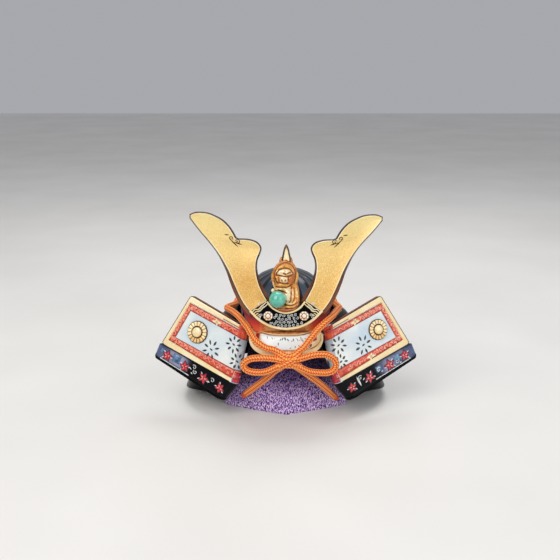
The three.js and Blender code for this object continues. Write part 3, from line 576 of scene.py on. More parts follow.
def braid(name, routes, diameter=CORD_DIAMETER, tips=0.0, replaces=()):
    """Tubes of braided stitches along the routes. tips is how much of each route's end is bound."""
    sides, step, radius = BRAID_SIDES, BRAID_STEP, diameter / 2
    verts, faces, relief, kinds, lines = [], [], [], [], []
    for route in routes:
        path = even(spline(route, 12), step)
        lines.append(path)
        base, n = len(verts), len(path)
        bound_from = n - 1 - tips / step
        for k, p in enumerate(path):
            t = tangent(path, k)
            away = vec(p.x * 0.35, p.y - CORD_AXIS_Y, 0)
            up = (away - t * away.dot(t)).normalized()
            side = t.cross(up)
            end = min(k, n - 1 - k) / (radius / step)
            shrink = 0.55 + 0.45 * rounded(end) if tips or name == "cord_knot" else 1
            bound = tips and k > bound_from
            for j in range(sides):
                turn = j / sides
                column = int(turn * BRAID_COLUMNS)
                w = 2 * (turn * BRAID_COLUMNS - column) - 1
                phase = k * step / BRAID_PITCH + (0.5 if column % 2 else -0.5) * w
                q = 2 * (phase % 1) - 1
                bulge = math.sqrt(max(0, 1 - q * q)) * math.sqrt(max(0, 1 - 0.75 * w * w))
                if bound:
                    bulge = 0.55 + 0.2 * math.sin(k * 2.4)
                relief.append(bulge)
                r = radius * shrink * (0.84 + 0.2 * bulge)
                angle = 2 * math.pi * turn
                verts.append(p + up * (r * math.cos(angle)) + side * (r * math.sin(angle)))
        faces += ring_faces(base, n, sides)
        kinds += [1 if tips and k > bound_from else 0 for k in range(n - 1) for _ in range(sides)]
        faces += [tuple(base + j for j in range(sides))[::-1],
                  tuple(base + (n - 1) * sides + j for j in range(sides))]
        kinds += [0, 1 if tips else 0]
    obj = piece(name, verts, faces, [BRAID, TIP], "orange_cord", kinds, replaces=replaces,
                attributes={"relief": relief})
    return obj, lines


def declare_cord(obj, path):
    length = sum((b - a).length for a, b in zip(path, path[1:])) * MM


KNOT_STRANDS = [
    [(-7.4, -57.4, 53.6), (-4.6, -59.6, 52.4), (-1.4, -61.6, 50.8), (2.4, -62.6, 48.6), (5.6, -61.4, 46),
     (7.8, -58.4, 43.2)],
    [(9.4, -57.6, 53.4), (7, -60.2, 51.8), (4, -62.2, 50), (0.4, -63.2, 48.2), (-3, -61.8, 46),
     (-5.6, -58.6, 43.4)],
    [(-7.2, -59.6, 50.2), (-3.4, -61.2, 49.6), (1.2, -62, 50.6), (5.4, -61.8, 50.4), (9.8, -59.6, 50.2)],
    [(-7, -60, 45.2), (-3, -61.4, 46.4), (1.4, -62.2, 46.6), (5.8, -61.6, 46.2), (10, -60, 45.4)],
    [(-4.6, -58.4, 53.6), (-1, -60, 52.6), (1.6, -60.6, 52.2), (4.4, -60, 52.6), (8, -58.2, 53.4)],
]
knot, _ = braid("cord_knot", KNOT_STRANDS, CORD_DIAMETER * KNOT_SHARE, replaces=("cord_knot",))
cord_round, lines = braid("cord_round", [CORD_ROUND], replaces=("cord_round",))
declare_cord(cord_round, lines[0])
for name, route in (("bow_loop_left", BOW_LEFT), ("bow_loop_right", BOW_RIGHT)):
    made, lines = braid(name, [route], replaces=(name,))
    declare_cord(made, lines[0])
for name, route in (("cord_tail_left", TAIL_LEFT), ("cord_tail_right", TAIL_RIGHT)):
    made, lines = braid(name, [route], tips=TIP_LENGTH, replaces=(name,))
    declare_cord(made, lines[0])


# Bowl: sixteen raised ribs
BOWL_RADIUS, BOWL_DEPTH, BOWL_CENTRE_Y, BOWL_RIM_Z, BOWL_HEIGHT, BOWL_WALL = 32, 38, 6, 58, 35.5, 3.5
BOWL_PROFILE = spline([(1, 0), (0.995, 0.2), (0.955, 0.36), (0.865, 0.54), (0.73, 0.715), (0.54, 0.865),
                       (0.31, 0.958), (0.12, 0.992), (0, 1)], 5)
RIB_COUNT = 16
RIB_HALF = 0.09
RIB_RAISED = 1.0
COLUMNS_PER_RIB = 18


def rib_share(angle, out):
    """1 on a rib's crest, falling to 0 at its foot. A rib keeps its width as the bowl narrows."""
    spacing = 2 * math.pi / RIB_COUNT
    away = abs((angle / spacing + 0.5) % 1 - 0.5) * spacing
    half = RIB_HALF / max(0.3, out)
    return clamp(1 - away / half)


def bowl_point(j, angle, inset, ribs):
    out, up = BOWL_PROFILE[j]
    crest = math.sin(rib_share(angle, out) * math.pi / 2)
    raised = ribs * RIB_RAISED * crest * ease(up, 0.18, 0.34) * ease(out, 0.08, 0.3)
    across = (BOWL_RADIUS - inset) * out + raised
    along = (BOWL_DEPTH - inset) * out + raised
    return vec(across * math.sin(angle), BOWL_CENTRE_Y - along * math.cos(angle),
               BOWL_RIM_Z + (BOWL_HEIGHT - inset) * up)


BOWL_COLUMNS = RIB_COUNT * COLUMNS_PER_RIB
bowl_turn = 2 * math.pi / BOWL_COLUMNS
bowl_ribs = [rib_share(i * bowl_turn, out) * ease(out, 0.08, 0.3)
             for i in range(BOWL_COLUMNS) for out, _ in BOWL_PROFILE]
shell("bowl_shell", BOWL_COLUMNS, len(BOWL_PROFILE), lambda i, j: bowl_point(j, i * bowl_turn, 0, 1),
      lambda i, j: bowl_point(j, i * bowl_turn, BOWL_WALL, 0), [BOWL], "black_glaze", ring=True,
      replaces=("bowl",),
      attributes={"rib": bowl_ribs + bowl_ribs})


# Turned-back plates
PLATE_LENGTH, PLATE_TOP, PLATE_HEIGHT, PLATE_OUTER_HEIGHT, PLATE_THICKNESS = 58.3, 42.6, 38.6, 40.4, 3
PLATE_SPAN = 55
PLATE_X, PLATE_Y, PLATE_Z = 38, -42, 27.3
FOLD_RADIUS = 4.6
CORNER = 2.6
swing, rise, lean = (math.radians(a) for a in (29.1, 17.7, 16.2))
outwards = vec(math.cos(swing) * math.cos(rise), math.sin(swing) * math.cos(rise), math.sin(rise))
facing = vec(math.sin(swing), -math.cos(swing), 0) * math.cos(lean) + vec(0, 0, math.sin(lean))
facing = (facing - outwards * facing.dot(outwards)).normalized()
upwards = facing.cross(outwards).normalized()
INNER_SHARE = 0.533
SLANT = (PLATE_LENGTH - PLATE_TOP) * INNER_SHARE
STRIP_SLANT = 0.32


def on_plate(out, up, proud):
    return vec(PLATE_X, PLATE_Y, PLATE_Z) + outwards * out + upwards * up + facing * proud


def wrapped(sign, slant=SLANT / PLATE_HEIGHT, set_back=0.0):
    """Places on a plate's front, which run on round its folded inner end. sign mirrors it."""
    def place(out, up, proud):
        inner = slant * up
        away = out - inner
        if away >= 0:
            p = on_plate(out, up, proud - set_back)
        else:
            angle = -away / FOLD_RADIUS
            radius = FOLD_RADIUS + proud
            p = on_plate(inner - radius * math.sin(angle), up,
                         -FOLD_RADIUS + radius * math.cos(angle) - set_back)
        return vec(p.x * sign, p.y, p.z)
    return place


def frame_low(s):
    return mix(2.9, 4.8, s)


def frame_high(s):
    return mix(3.2, 5.0, s)


FRAME_OUTER = 3.2
FRAME_PROUD = 0.8
FRAME_ROWS = 7
PLATE_ROWS = 21
FOLD_STEPS = 12
EDGE_INSET = 0.3


def corner_inset(end):
    return CORNER - math.sqrt(CORNER ** 2 - (CORNER - end) ** 2) if end < CORNER else 0


def plate_edge():
    """The plate's rim from the fold's foot round the outer end to the fold's top, a little way in."""
    shares = [k / 40 for k in range(39)] + [1 - e / PLATE_SPAN for e in (1.9, 1.3, 0.9, 0.55, 0.3)]
    low, high = [], []
    for s in shares:
        tall = mix(PLATE_HEIGHT, PLATE_OUTER_HEIGHT, s)
        inset = corner_inset((1 - s) * PLATE_SPAN) + EDGE_INSET
        for side, up in ((low, inset), (high, tall - inset)):
            side.append(vec(mix(PLATE_LENGTH * s, SLANT + PLATE_TOP * s, up / tall), up))
    return low + high[::-1]


def folded(name, columns, rows, place, locate, thickness, *looks, **rest):
    """A shell on a plate: locate(i, j) gives how far out, up and proud its front is."""
    shell(name, columns, rows, lambda i, j: place(*locate(i, j)),
          lambda i, j: place(*locate(i, j)[:2], -thickness), *looks, **rest)


def plate(side, sign):
    place = wrapped(sign)
    wrap = math.pi * FOLD_RADIUS
    ends = [0, 0.35, 0.6, 0.9, 1.4, 2.1, FRAME_OUTER - 0.35, FRAME_OUTER]
    columns = [(-wrap * (1 - k / FOLD_STEPS), None) for k in range(FOLD_STEPS)]
    columns += [(None, k / 20 * (1 - FRAME_OUTER / PLATE_SPAN)) for k in range(20)]
    columns += [(None, 1 - e / PLATE_SPAN) for e in reversed(ends)]
    last_row = PLATE_ROWS - 1
    shares = [0, 0.11, 0.2, 0.35, 0.6, 0.88, 1]

    def locate(i, j):
        away, s = columns[i]
        s = 0 if s is None else s
        end = (1 - s) * PLATE_SPAN
        inset = corner_inset(end)
        high = mix(PLATE_HEIGHT, PLATE_OUTER_HEIGHT, s)
        low_frame, high_frame = max(inset + 0.4, frame_low(s)), max(inset + 0.4, frame_high(s))
        if j < FRAME_ROWS:
            up = mix(inset, low_frame, shares[j])
        elif j > last_row - FRAME_ROWS:
            up = high - mix(inset, high_frame, shares[last_row - j])
        else:
            up = mix(low_frame, high - high_frame, (j + 1 - FRAME_ROWS) / (PLATE_ROWS + 1 - 2 * FRAME_ROWS))
        if away is None:
            out = mix(PLATE_LENGTH * s, SLANT + PLATE_TOP * s, up / high)
        else:
            out = SLANT * up / PLATE_HEIGHT + away
        edge = min(up - inset, high - inset - up, end)
        inner = max(low_frame - up, up - (high - high_frame), FRAME_OUTER - end)
        fade = 1 if away is None else ease(away, -1.6, 0)
        proud = FRAME_PROUD * rounded(edge / 1.2) * rounded(inner / 0.4) * fade if inner > 0 else 0
        return out, up, proud

    def kind(which, i, j):
        if which == 1:
            return 2
        away = columns[i][0]
        if away is not None:
            # The fold's far part takes the shaded copy of the white glaze
            return 2 if away < -2.4 else 0
        if which == 2 or j < 1 or j > last_row - 2 or i >= len(columns) - 2:
            return 3
        in_frame = j < FRAME_ROWS - 1 or j > last_row - FRAME_ROWS or i >= len(columns) - len(ends)
        return 1 if in_frame else 0

    folded("plate_" + side, len(columns), PLATE_ROWS, place, locate, PLATE_THICKNESS,
           [WHITE, CREAM, SHADED_FOLD_WHITE, BROWN], "white_glaze", kind,
           replaces=("turn_back_" + side,), sharp=50)
    return place


# Outer and inner edges of the red band: along the top from the fold, down the outer end and back below
BAND_OUTER = [(-4.6, 34.6), (3, 34.7), (50.6, 35.0), (55.2, 5.0), (2.2, 3.0), (-8.5, 3.2)]
BAND_INNER = [(-8.5, 30.0), (0, 30.0), (47.0, 30.6), (50.2, 8.6), (4.6, 8.8), (-7.5, 9.2)]
BAND_PARTS = [(0, 2), (2, 3), (3, 5)]
BAND_STEP = 1.2
VINE_WAVE = 1.35


def along(points, step=BAND_STEP):
    out = []
    for a, b in zip(points, points[1:]):
        n = max(1, round((b - a).length / step))
        out += [a.lerp(b, k / n) for k in range(n)]
    return out + [points[-1]]


FLOWERS = {"left": [(21.5, 13.4, 7.2, 0.2), (7.6, 24.0, 6.4, 0.5), (0.6, 14.6, 6.0, 0.1)],
           "right": [(24.8, 15.2, 7.2, 0.1), (7.6, 23.4, 6.6, 0.3), (4.6, 12.6, 5.6, 0.45)]}


def plate_paint(side, place):
    outer, inner = ([vec(*p) for p in edge] for edge in (BAND_OUTER, BAND_INNER))
    for part, (a, b) in enumerate(BAND_PARTS):
        rows_a, rows_b = [], []
        for k in range(a, b):
            n = max(1, round((outer[k + 1] - outer[k]).length / BAND_STEP))
            rows_a += [outer[k].lerp(outer[k + 1], m / n) for m in range(n)]
            rows_b += [inner[k].lerp(inner[k + 1], m / n) for m in range(n)]
        rows_a.append(outer[b])
        rows_b.append(inner[b])
        patch(f"band_{side}_{part}", len(rows_a), 4,
              lambda i, j, h: place(*rows_a[i].lerp(rows_b[i], j / 3), h), 0.1, RED, "red_glaze")
        middle = [p.lerp(q, 0.5) for p, q in zip(rows_a, rows_b)]
        vine, curls = [], []
        travelled = 0.0
        for k in range(len(middle) - 1):
            t = (middle[k + 1] - middle[k]).normalized()
            half = (rows_a[k] - rows_b[k]).length / 2
            cross = vec(-t.y, t.x)
            wave = math.sin(travelled * VINE_WAVE)
            if middle[k].x > 9:
                vine.append(middle[k] + cross * (wave * half * 0.42))
            if k % 2 == 0 and (middle[k].x > 26 or rng.random() < 0.45):
                hand = 1 if wave < 0 else -1
                centre = middle[k] + cross * (hand * half * 0.36)
                curls.append(line(spiral(centre.x, centre.y, half * 0.34, 1.1, travelled, hand, 9), 0.34))
            travelled += (middle[k + 1] - middle[k]).length
        strokes(f"vine_{side}_{part}", [line(vine, 0.34)] + curls, place, PINK, "red_glaze", 0.22, -0.02)
    strokes("band_lines_" + side, [line(along(outer), 0.5), line(along(inner), 0.42)], place, RED_LINE,
            "red_glaze", 0.2)
    top_up = [mix(29.6, 38.3, j / 12) for j in range(13)]
    patch("fold_red_" + side, 16, 13, lambda i, j, h: place(
        -6.6 + i * 0.48 + SLANT / PLATE_HEIGHT * top_up[j], top_up[j],
        h + (0.9 * ease(i, 10, 13.5) if j > 7 else 0)),
          0.16, RED, "red_glaze")
    end_low = [[vec(-9 + i * 1.1, mix(0.6, 7.6, j / 4)) for j in range(5)] for i in range(8)]
    patch("fold_crimson_" + side, 8, 5, lambda i, j, h: place(*end_low[i][j], h), 0.16, CROSS, "red_glaze")
    strokes("fold_lines_" + side, [line(along([vec(-0.6, 0.8), vec(-0.6, 8.2)]), 0.4),
                                   line(along([vec(-9, 7.8), vec(-0.6, 8.4)]), 0.4)],
            place, PINK, "red_glaze", 0.3)
    strokes("plate_outline_" + side, [line(plate_edge(), 0.62)], place, OUTLINE, "gold", 0.66, -0.1)
    strokes("rail_" + side, [line(along([vec(1.4, 36.0), vec(21.6, 36.5)]), 0.55)], place, RED_LINE, "gold",
            0.96, -0.6)
    fittings = [(25.4, 32.2)] + ([(26.7, 5.6)] if side == "right" else [])
    gold_marks = []
    for x, y in fittings:
        gold_marks += [dash((x - 3.4, y + 0.6), (x + 3.4, y - 0.6), 2.6),
                       dash((x - 1.2, y - 2), (x + 1.2, y + 2), 2.2)]
    strokes("fittings_" + side, gold_marks, place, CREAM, "gold", 0.5)
    marks = []
    for x, y, r, start in FLOWERS[side]:
        for k in range(8):
            angle = start + k * math.pi / 4
            c, s = math.cos(angle), math.sin(angle)
            near, far = (0.46, 0.94) if k % 3 else (0.4, 0.86)
            marks.append(dash((x + c * r * near, y + s * r * near), (x + c * r * far, y + s * r * far),
                              1.8 - 0.25 * (k % 2)))
        marks.append(dash((x - 1.2, y - 0.3), (x + 1.2, y + 0.3), 1.3))
    strokes("flowers_" + side, marks, place, INK, "black_glaze", 0.14)


BOSS_AT = {"left": (35.8, 19.6, 7.8), "right": (39.2, 19.9, 7.2)}
BOSS_PETALS, BOSS_HEIGHT = 16, 2.6
# Shares of a flower's radius: where its petals begin and end, and where its button begins
PETAL_RIM, PETAL_FOOT, BUTTON_RIM = 0.94, 0.57, 0.44


def chrysanthemum(name, x, y, radius, place, petals, height, material, lift=0.0, replaces=()):
    """A flower boss: petals with fine dark lines between them, a button in a dark ring, and painted shade toward
    one side.
    """
    per = 12
    columns = petals * per
    shares = [1.0, 1.0, 0.975, 0.945, 0.92, 0.86, 0.78, 0.7, 0.62, 0.575, 0.545, 0.5, 0.45, 0.425, 0.38, 0.24,
              0.1, 0.0]
    verts, relief = [], []
    for j, share in enumerate(shares):
        for i in range(columns):
            w = 2 * ((i / per) % 1) - 1
            angle = 2 * math.pi * i / columns
            crown = math.sqrt(max(0, 1 - w * w))
            seam = 1 - clamp(abs(w) * 6 - 4.4)
            # painted shade: each flower's petals and button darken toward one side
            shaded_side = 0.32 * ease(math.cos(angle + 1.9), 0.1, 0.8)
            if share > PETAL_RIM:
                up, tone = height * (0 if j == 0 else 0.24), 0.0
            elif share > PETAL_FOOT:
                up = height * (0.32 + 0.3 * crown * (0.5 + 0.5 * share)) * rounded((1.04 - share) * 9)
                tone = mix(0.14, 0.66 + 0.3 * crown + 0.08 * math.sin(i * 0.7) - shaded_side, seam)
            elif share > BUTTON_RIM:
                up, tone = height * 0.34, 0.0
            else:
                up = height * (0.42 + 0.58 * rounded((0.46 - share) / 0.2))
                tone = 0.62 + 0.38 * (1 - share) - shaded_side * 0.4
            r = radius * share * (mix(0.96, 1, crown) if share > 0.6 else 1)
            verts.append(place(x + r * math.cos(angle), y + r * math.sin(angle), up + lift))
            relief.append(tone)
    faces = ring_faces(0, len(shares), columns) + [tuple(range(columns))[::-1]]
    return piece(name, verts, faces, [material], "gold", attributes={"relief": relief}, replaces=replaces)


STRIP_LOW_INNER, STRIP_LOW_OUTER, STRIP_HIGH = -14.7, -11.7, -0.3
STRIP_EXTRA = 1.6
STRIP_SET_BACK = 0.6
STRIP_CORNER = 2
STRIP_THICKNESS = 2.2
# Where the painted blue-grey reflection begins along each strip
STRIP_REFLECTION_FROM = {"left": 30, "right": 25}
# painted highlight: a pale line along each strip's lower edge, between these places
STRIP_HIGHLIGHT = {"left": (30, 55.5), "right": (24, 55)}
CROSSES = {"left": [(50.9, -6.0, 3.6, 0.3), (35.3, -6.6, 3.6, 0.0), (18.9, -7.2, 3.7, 0.5),
                    (5.0, -7.4, 3.2, 0.9)],
           "right": [(51.4, -5.9, 3.4, 0.1), (37.8, -6.5, 3.8, 0.4), (20.2, -7.2, 3.6, 0.7),
                     (5.2, -7.2, 3.2, 0.2)]}
STRIP_CURLS = {"left": [(12.2, -5.4, 1), (26.4, -6.2, -1), (28.4, -3.6, 1)],
               "right": [(28.6, -5.6, 1), (44.2, -6.8, -1), (13.4, -4.0, 1)]}
TILES = {"left": [(43.2, -4.6, 3.2), (56.0, -4.4, 1.6)], "right": [(45.4, -4.4, 2.6), (29.0, -5.0, 2.2)]}


def lowest_strip(side, sign):
    """The lowest lame's turned-back end, under the plate: black with a painted blue-grey reflection toward its
    outer end, and red crosses.
    """
    slant = -STRIP_SLANT
    place = wrapped(sign, slant, STRIP_SET_BACK)
    wrap = math.pi * FOLD_RADIUS
    xs = [-wrap * (1 - k / FOLD_STEPS) for k in range(FOLD_STEPS)] + [k * 3 for k in range(18)]
    xs += [PLATE_LENGTH + e for e in (-3, -1.8, -0.9, -0.3, 0.3, 0.8, 1.2, 1.5, 1.6)]
    rows = 15

    def locate(i, j):
        low = mix(STRIP_LOW_INNER, STRIP_LOW_OUTER, clamp(xs[i] / PLATE_LENGTH))
        end = clamp(PLATE_LENGTH + STRIP_EXTRA - xs[i], 0, STRIP_CORNER)
        inset = STRIP_CORNER - math.sqrt(STRIP_CORNER ** 2 - (STRIP_CORNER - end) ** 2)
        up = mix(low + inset, STRIP_HIGH - inset * 0.4, j / (rows - 1))
        rim = 0.45 * rounded((up - low - inset) / 0.5) * (1 - ease(up - low - inset, 1.0, 1.7))
        return xs[i] + slant * up * (1 - max(0, xs[i]) / PLATE_LENGTH), up, rim

    starts = STRIP_REFLECTION_FROM[side]
    # painted reflection: blue-grey on the glossy black, patchy, and fading toward the strip's edges
    blue = []
    for i, x in enumerate(xs):
        for j in range(rows):
            patchy = 0.5 + 0.5 * math.sin(x * 0.42 + 1.2) * math.cos(x * 0.17 + j * 0.3)
            up = locate(i, j)[1]
            shown = ease(up, -9.9, -9.2) * ease(-up, 0.5, 1.5)
            blue.append(ease(x, starts, starts + 9) * (0.55 + 0.45 * patchy) * shown)
    folded("strip_" + side, len(xs), rows, place, locate, STRIP_THICKNESS, [SLATE, BLACK], "black_glaze",
           lambda which, i, j: 0 if which == 0 and j > 1 else 1, replaces=("lowest_turn_back_" + side,),
           sharp=60, attributes={"blue": blue + blue})
    rings, halos, reds, cores = [], [], [], []
    for x, y, r, start in CROSSES[side]:
        for k in range(5):
            angle = start + k * 2 * math.pi / 5
            c, s = math.cos(angle), math.sin(angle)
            rings.append(dash((x - c, y - s), (x + c * r * 1.2, y + s * r * 1.2), 3.4))
            if k % 2 == 0:
                halos.append(dash((x + c * r * 0.7 - s, y + s * r * 0.7 + c),
                                  (x + c * r * 1.25 - s * 1.3, y + s * r * 1.25 + c * 1.3), 0.9))
                cores.append(dash((x + c * 0.4, y + s * 0.4), (x + c * r * 0.6, y + s * r * 0.6), 0.6))
            reds.append(dash((x - c * 0.4, y - s * 0.4), (x + c * r, y + s * r), 2.3))
    strokes("star_edges_" + side, rings, place, OUTLINE, "black_glaze", 0.1)
    strokes("halos_" + side, halos, place, HALO, "black_glaze", 0.2)
    strokes("crosses_" + side, reds, place, CROSS, "red_glaze", 0.26)
    strokes("cores_" + side, cores, place, PINK, "red_glaze", 0.36)
    begin, stop = STRIP_HIGHLIGHT[side]
    # The first mark is the painted highlight along the lower edge; the rest are silver scrolls
    marks = [line(along([vec(begin, -10.7), vec(stop, -9.7)]), 0.6)]
    for x, y, hand in STRIP_CURLS[side]:
        marks.append(line(spiral(x, y, 1.7, 1.1, 0.5, hand), 0.5))
        marks.append(dash((x + 1.4, y - 2.4), (x + 3.0, y - 1.6), 0.8))
    if side == "right":
        marks.append(dash((11.2, -2.2), (12.0, -9.4), 1.7))
    strokes("strip_marks_" + side, marks, place, SILVER, "silver_scroll", 0.2)
    for number, (x, y, half) in enumerate(TILES[side]):
        patch(f"tile_{side}_{number}", 5, 5, lambda i, j, h: place(
            x + half * (i / 2 - 1), y + half * 0.9 * (j / 2 - 1), h), 0.07, TILE, "black_glaze")


for side, sign in SIDES:
    on_face = plate(side, sign)
    plate_paint(side, on_face)
    x, y, radius = BOSS_AT[side]
    chrysanthemum("chrysanthemum_" + side, x, y, radius, on_face, BOSS_PETALS, BOSS_HEIGHT, BOSS,
                  replaces=("boss_" + side,))
    lowest_strip(side, sign)


# Neck guard: four flaring lames with a rolled lower rim
LAME_THICKNESS, LAME_OVERLAP, LAME_SEAM, GAP = 2.2, 3, 0.8, 0.3
NECK_TOP_Z, NECK_BOTTOM_Z, NECK_BOTTOM_RADIUS, NECK_FRONT_RISE = 65, 5.4, 71, 9
FLARES = [(0.43, 3), (0.23, 1.3), (0.18, 1.15), (0.16, 1.1)]
neck_top_radius = BOWL_RADIUS + GAP + 0.1 + LAME_THICKNESS / 2
lame_height = (NECK_TOP_Z - NECK_BOTTOM_Z + LAME_OVERLAP * 3) / 4
lame_step = LAME_THICKNESS + GAP
whole_flare = NECK_BOTTOM_RADIUS - neck_top_radius - lame_step * 3


def lame_point(radius, z, share):
    up = (z - PLATE_Z) / upwards.z
    edge = -STRIP_SLANT * up if up < 0 else SLANT * up / PLATE_HEIGHT
    end = on_plate(edge, up, -(2 * FOLD_RADIUS - PLATE_THICKNESS / 2)) + outwards * (3 * GAP)
    across = min(0.95, end.x / radius)
    angle = abs(share) * (math.pi - math.asin(across))
    front = (BOWL_CENTRE_Y - end.y) / math.sqrt(1 - across * across)
    depth = radius + BOWL_DEPTH - BOWL_RADIUS if angle < math.pi / 2 else front
    return vec(math.copysign(radius * math.sin(angle), share), BOWL_CENTRE_Y + depth * math.cos(angle), z)


def lame(index):
    columns, rows = 161, 15
    share_of_flare, swell = FLARES[index]
    above = sum(row[0] for row in FLARES[:index])
    top_radius = neck_top_radius + index * lame_step + above * whole_flare
    bottom_radius = top_radius + share_of_flare * whole_flare
    top_z = NECK_TOP_Z - index * (lame_height - LAME_OVERLAP)
    bottom_z = top_z - lame_height
    heights = [0, 0.02, 0.05, 0.09, 0.14, 0.2, 0.28, 0.37, 0.47, 0.58, 0.69, 0.8, 0.9, 0.96, 1]

    def middle(i, t):
        share = 2 * clamp(i, 0, columns - 1) / (columns - 1) - 1
        if index == 3:
            lift = NECK_FRONT_RISE * ease(abs(share), 0.62, 0.97)
        else:
            lift = (LAME_OVERLAP + LAME_SEAM) * ease(abs(share), 0.35, 0.58)
        return lame_point(mix(bottom_radius, top_radius, t ** swell), mix(bottom_z + lift, top_z, t), share)

    def side_of(i, j, proud):
        here = middle(i, heights[j])
        across = middle(i + 1, heights[j]) - middle(i - 1, heights[j])
        upward = middle(i, heights[min(rows - 1, j + 1)]) - middle(i, heights[max(0, j - 1)])
        return here + upward.cross(across).normalized() * proud

    def rim(j):
        t = heights[j]
        return 0.35 * rounded(t / 0.04) * (1 - ease(t, 0.07, 0.13))

    half = LAME_THICKNESS / 2
    shell(f"lame_{index + 1}", columns, rows, lambda i, j: side_of(i, j, half - 0.12 + rim(j)),
          lambda i, j: side_of(i, j, -half), [BLACK], "black_glaze", replaces=(f"neck_lame_{index + 1}",), sharp=60)


for number in range(4):
    lame(number)


# Peak
PEAK_HALF_WIDTH, PEAK_TOP_Z, PEAK_DROP, PEAK_REACH, PEAK_THICKNESS = 24.6, 62.4, 13.6, 53.2, 2.2
PEAK_ROWS = [(0.9, -0.04, 0, 0), (0.9, 0.0, 0.3, 0), (0.9, 0.03, 0.62, 0), (0.9, 0.13, 0.76, 0),
             (0.93, 0.5, 0.88, 0),
             (0.96, 0.76, 0.96, 0), (0.97, 0.8, 0.985, 1), (1, 1, 1, 1)]


def peak_base(share, v):
    v = clamp(v, 0, len(PEAK_ROWS) - 1)
    k = min(int(v), len(PEAK_ROWS) - 2)
    width, drop, reach, _ = (mix(a, b, v - k) for a, b in zip(PEAK_ROWS[k], PEAK_ROWS[k + 1]))
    angle = clamp(share, -1, 1) * 0.97 * math.pi / 2
    x = PEAK_HALF_WIDTH * width * math.copysign(abs(math.sin(angle)) ** 0.8, angle)
    beside = min(0.98, abs(x) / (BOWL_RADIUS + GAP))
    bowl_front = BOWL_CENTRE_Y - (BOWL_DEPTH + GAP) * math.sqrt(1 - beside ** 2)
    lip = -PEAK_REACH + PEAK_REACH * 0.24 * (1 - math.cos(angle)) ** 1.2
    return vec(x, mix(bowl_front, lip, reach), PEAK_TOP_Z - PEAK_DROP * drop * abs(math.cos(angle)) ** 0.55)


def on_peak(share, v, proud):
    across = peak_base(min(1, share + 0.01), v) - peak_base(max(-1, share - 0.01), v)
    down = peak_base(share, v + 0.3) - peak_base(share, v - 0.3)
    normal = down.cross(across).normalized()
    if normal.z - normal.y < 0:
        normal.negate()
    if v < 0.4:
        normal = vec(0, 0, 1)
    return peak_base(share, v) + normal * proud


PEAK_V = [0, 0.5, 1, 1.5, 2, 2.5, 2.9, 3.1, 3.3, 3.6, 4, 4.4, 4.8, 5.2, 5.5, 5.7, 5.9, 6.05, 6.2, 6.4, 6.6,
          6.8, 6.92, 7]
PEAK_COLUMNS = 121


def peak_front(i, j):
    v = PEAK_V[j]
    rim = 0.95 * rounded((v - 5.5) / 0.5) * rounded((7.0 - v) / 0.6 + 0.12) if v > 5.5 else 0
    return on_peak(2 * i / (PEAK_COLUMNS - 1) - 1, v, rim)


shell("peak_shell", PEAK_COLUMNS, len(PEAK_V), peak_front,
      lambda i, j: on_peak(2 * i / (PEAK_COLUMNS - 1) - 1, PEAK_V[j], -PEAK_THICKNESS),
      [CREAM, ORANGE_GOLD, BLACK], "white_glaze",
      lambda which, i, j: 2 if which == 1 else (1 if PEAK_V[j] < 2.5 or 4.5 < PEAK_V[j] < 5.5 else 0),
      replaces=("peak",), sharp=60)


PANEL_CURVE = 0.55
PANEL_LEFT, PANEL_RIGHT = -0.5, 0.47


def panel_rows(i):
    """Where the panel begins and ends down the peak, at a column of 60."""
    inset = 0.55 * (1 - rounded(min(i, 60 - i) / 6))
    return 2.75 - PANEL_CURVE * (i / 30 - 1) ** 2 + inset * 0.4, 4.7 - inset


def panel_at(i, j, h):
    top, foot = panel_rows(i)
    return on_peak(mix(PANEL_LEFT, PANEL_RIGHT, i / 60), mix(top, foot, j / 10), h)


def peak_line(begin, stop, v):
    """A line across the peak above the panel, in 40 steps."""
    return [vec(mix(begin, stop, i / 40), v - PANEL_CURVE * (i / 20 - 1) ** 2) for i in range(41)]


# The panel takes the brighter, lit copy of the white glaze
patch("peak_panel", 61, 11, panel_at, 0.14, LIT_PANEL_WHITE, "white_glaze")
panel_edge = [vec(mix(PANEL_LEFT, PANEL_RIGHT, i / 60), panel_rows(i)[1]) for i in range(61)]
strokes("peak_lines", [
    line(panel_edge, 0.07),
    line(peak_line(-0.52, 0.5, 2.5), 0.1)],
    on_peak, RED_LINE, "red_glaze", 0.24)
strokes("peak_gold_line", [line(peak_line(-0.56, 0.54, 2.3), 0.14)], on_peak, CREAM, "gold", 0.35)
peak_marks = []
for k in range(30):
    share, v, turn = mix(-0.44, 0.43, (k / 29) ** 0.6), rng.uniform(3.0, 4.4), rng.uniform(0, 3.1)
    across, down = 0.013 * math.cos(turn), 0.16 * math.sin(turn)
    peak_marks.append(([vec(share - across, v - down), vec(share + across, v + down)], [0.02, 0.012]))
strokes("peak_scroll", peak_marks, on_peak, INK, "black_glaze", 0.24)
for side, sign in SIDES:
    patch("peak_red_" + side, 8, 6,
          lambda i, j, h: on_peak(sign * mix(0.54, 0.68, i / 7), mix(2.5, 3.9, j / 5), h), 0.18, DEEP_RED,
          "red_glaze")


# Crest
CREST_Y, CREST_Z, CREST_LEAN = -47, 62, 12.3
crest_turn = math.radians(90 - CREST_LEAN)
HORN_REACH, HORN_RISE, HORN_THICKNESS = 62.5, 80.4, 5
HORN_FRONT = -1.5
HORN_DROP = {"left": 0.5, "right": 2.2}
ROOT_INNER, ROOT_OUTER = 12.4, 23.4
HORN_BACK = HORN_FRONT - HORN_THICKNESS


def on_crest(x, y, z):
    c, s = math.cos(crest_turn), math.sin(crest_turn)
    return vec(x, CREST_Y + y * c - z * s, CREST_Z + y * s + z * c)


